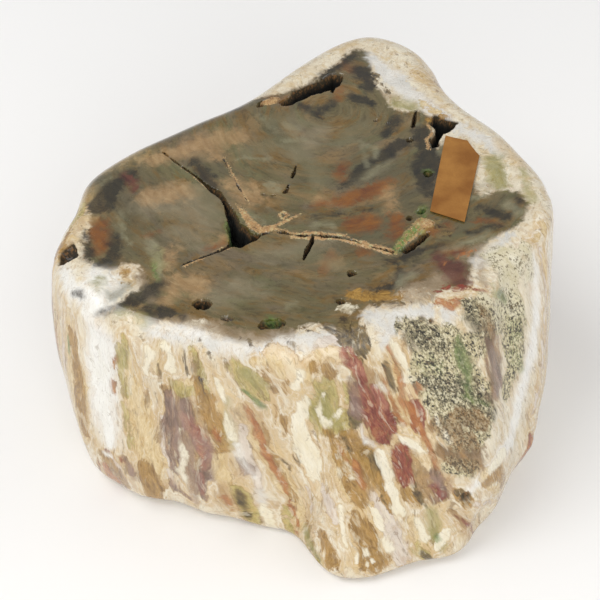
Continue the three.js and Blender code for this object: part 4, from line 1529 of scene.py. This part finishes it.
    # Painted shade: the deep floors of the cavities, cracks and holes are painted near black, darker the deeper they
    # go.
    painted_pit_shade = ramp(tree, deep, 1.5, 5.0)
    shade = mixed(tree, painted_pit_shade, shade, seen(44, 44, 42))
    moss_wall = part_of(tree, masks["green"], ramp(tree, ripple, 0.1, 0.6))
    shade = mixed(tree, part_of(tree, part_of(tree, moss_wall, wall), 0.75), shade, seen(104, 140, 78))

    speckle = masks["speckle"]
    matt = sum_of(tree, "MAXIMUM", part_of(tree, speckle, 0.5), sum_of(tree, "MAXIMUM", wall, crust["Mask"]))
    gloss = place(
        tree,
        "ShaderNodeMapRange",
        {"Value": matt, "To Min": 0.18, "To Max": 0.85},
    ).outputs["Result"]
    gloss = sum_of(tree, "ADD", gloss, part_of(tree, patterns["fine"], 0.1))

    low_relief = part_of(tree, patterns["fine"], outside)
    grit_relief = part_of(tree, grain_value, speckle)
    crust_relief = part_of(tree, ripple, sum_of(tree, "MAXIMUM", wall, crust["Mask"]))
    relief = sum_of(tree, "ADD", low_relief, sum_of(tree, "ADD", grit_relief, crust_relief))
    bump = place(tree, "ShaderNodeBump", {"Height": relief, "Strength": 0.35, "Distance": 0.0004})

    surface = place(
        tree,
        "ShaderNodeBsdfPrincipled",
        {"Base Color": shade, "Roughness": gloss, "Normal": bump.outputs["Normal"], "IOR": 1.5,
         "Coat Weight": 0.35, "Coat Roughness": 0.04},
    )
    output = tree.nodes.new("ShaderNodeOutputMaterial")
    tree.links.new(surface.outputs["BSDF"], output.inputs["Surface"])
    return look


def paper_label():
    """A strip of brown paper with a torn corner, a little curled."""
    select_none()
    bpy.ops.mesh.primitive_grid_add(x_subdivisions=16, y_subdivisions=46, size=2)
    label = bpy.context.object
    label.name = "paper_label_strip"
    grid = mesh_points(label.data)
    across = (grid[:, 0:1] + 1) / 2
    along = (grid[:, 1:2] + 1) / 2
    near_left, near_right, far_right, far_left = (np.array(corner) for corner in LABEL_CORNERS)
    near = near_left + (near_right - near_left) * across
    far = far_left + (far_right - far_left) * across
    plan = near + (far - near) * along
    edge = np.clip(np.abs(grid[:, 0]) - 0.7, 0, 1) * 1.2 + np.clip(np.abs(grid[:, 1]) - 0.85, 0, 1) * 2
    points = np.column_stack([plan, np.full(len(plan), HEIGHT + LABEL_RISE)])
    points[:, 2] += 0.1 * rough(points, 9, 61) + 0.1 + edge * np.clip(rough(points, 14, 62) + 0.5, 0, 1)
    set_mesh_points(label.data, points * MM)

    start, end = (Vector((x, y, 0)) for x, y in LABEL_TEAR)
    tear_normal = (end - start).cross(Vector((0, 0, 1)))
    bpy.ops.object.mode_set(mode="EDIT")
    bpy.ops.mesh.select_all(action="SELECT")
    bpy.ops.mesh.bisect(plane_co=start * MM, plane_no=tear_normal.normalized(), clear_outer=True)
    bpy.ops.mesh.select_all(action="SELECT")
    bpy.ops.mesh.normals_make_consistent(inside=False)
    bpy.ops.object.mode_set(mode="OBJECT")
    sheet = label.modifiers.new("paper", "SOLIDIFY")
    sheet.thickness = LABEL_THICKNESS * MM
    sheet.offset = 0
    bpy.ops.object.modifier_apply(modifier=sheet.name)
    bpy.ops.object.shade_smooth_by_angle(angle=math.radians(40))
    label.data.materials.append(paper_material())
    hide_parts("paper_label")
    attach(label, "root")
    return label


def paper_material():
    """Old brown paper: faint fibres, lighter worn places and darker stains."""
    look = bpy.data.materials.new("brown_label_paper")
    look.use_nodes = True
    tree = look.node_tree
    tree.nodes.clear()
    spot = place(tree, "ShaderNodeTexCoord").outputs["Object"]
    stains = place(tree, "ShaderNodeTexNoise", {"Vector": spot, "Scale": 90.0, "Detail": 4.0}).outputs["Fac"]
    fibres = place(tree, "ShaderNodeTexNoise", {"Vector": spot, "Scale": 1400.0, "Detail": 3.0}).outputs["Fac"]
    stained = place(tree, "ShaderNodeMapRange", {"Value": stains, "From Min": 0.36, "From Max": 0.64})
    shade = mixed(tree, stained.outputs["Result"], seen(144, 94, 44), seen(178, 126, 64))
    shade = mixed(tree, sum_of(tree, "MULTIPLY", fibres, 0.35), shade, seen(116, 76, 42))
    bump = place(tree, "ShaderNodeBump", {"Height": fibres, "Strength": 0.3, "Distance": 0.00015})
    surface = place(
        tree,
        "ShaderNodeBsdfPrincipled",
        {"Base Color": shade, "Roughness": 0.7, "Normal": bump.outputs["Normal"]},
    )
    output = tree.nodes.new("ShaderNodeOutputMaterial")
    tree.links.new(surface.outputs["BSDF"], output.inputs["Surface"])
    return look


def pale_floor():
    select_none()
    bpy.ops.mesh.primitive_plane_add(size=6)
    floor = bpy.context.object
    floor.name = "floor"
    look = bpy.data.materials.new("pale_floor")
    look.use_nodes = True
    surface = look.node_tree.nodes["Principled BSDF"]
    surface.inputs["Base Color"].default_value = FLOOR_WHITE
    surface.inputs["Roughness"].default_value = 0.9
    floor.data.materials.append(look)


def soft_light(name, spot, target, size, power):
    select_none()
    bpy.ops.object.light_add(type="AREA", location=spot)
    light = bpy.context.object
    light.name = name
    light.data.shape = "DISK"
    light.data.size = size
    light.data.energy = power
    light.rotation_euler = (Vector(target) - Vector(spot)).to_track_quat("-Z", "Y").to_euler()


def studio():
    world = bpy.data.worlds.new("studio")
    world.use_nodes = True
    world.node_tree.nodes["Background"].inputs["Color"].default_value = (0.95, 0.97, 1.0, 1.0)
    world.node_tree.nodes["Background"].inputs["Strength"].default_value = 0.52
    bpy.context.scene.world = world
    middle = (0, 0, 0.05)
    soft_light("key_light", (-0.6, -0.05, 1.05), middle, 0.8, 6.6)
    soft_light("front_light", (0.2, -1.2, 0.65), middle, 1.0, 7.4)
    soft_light("small_window", (-0.12, -0.85, 1.0), middle, 0.09, 0.55)
    soft_light("right_light", (1.1, 0.15, 0.75), middle, 0.8, 2.6)
    bpy.context.scene.view_settings.view_transform = "Standard"


def photo_camera():
    lens = bpy.data.cameras.new("camera")
    lens.angle = VIEW_ANGLE
    lens.clip_start = 0.01
    camera = bpy.data.objects.new("camera", lens)
    camera.location = VIEW_PLACE * MM
    camera.rotation_euler = (QUARTER - VIEW_TILT, 0, 0)
    bpy.context.scene.collection.objects.link(camera)
    bpy.context.scene.camera = camera


petrified_wood()
paper_label()
pale_floor()
studio()
photo_camera()
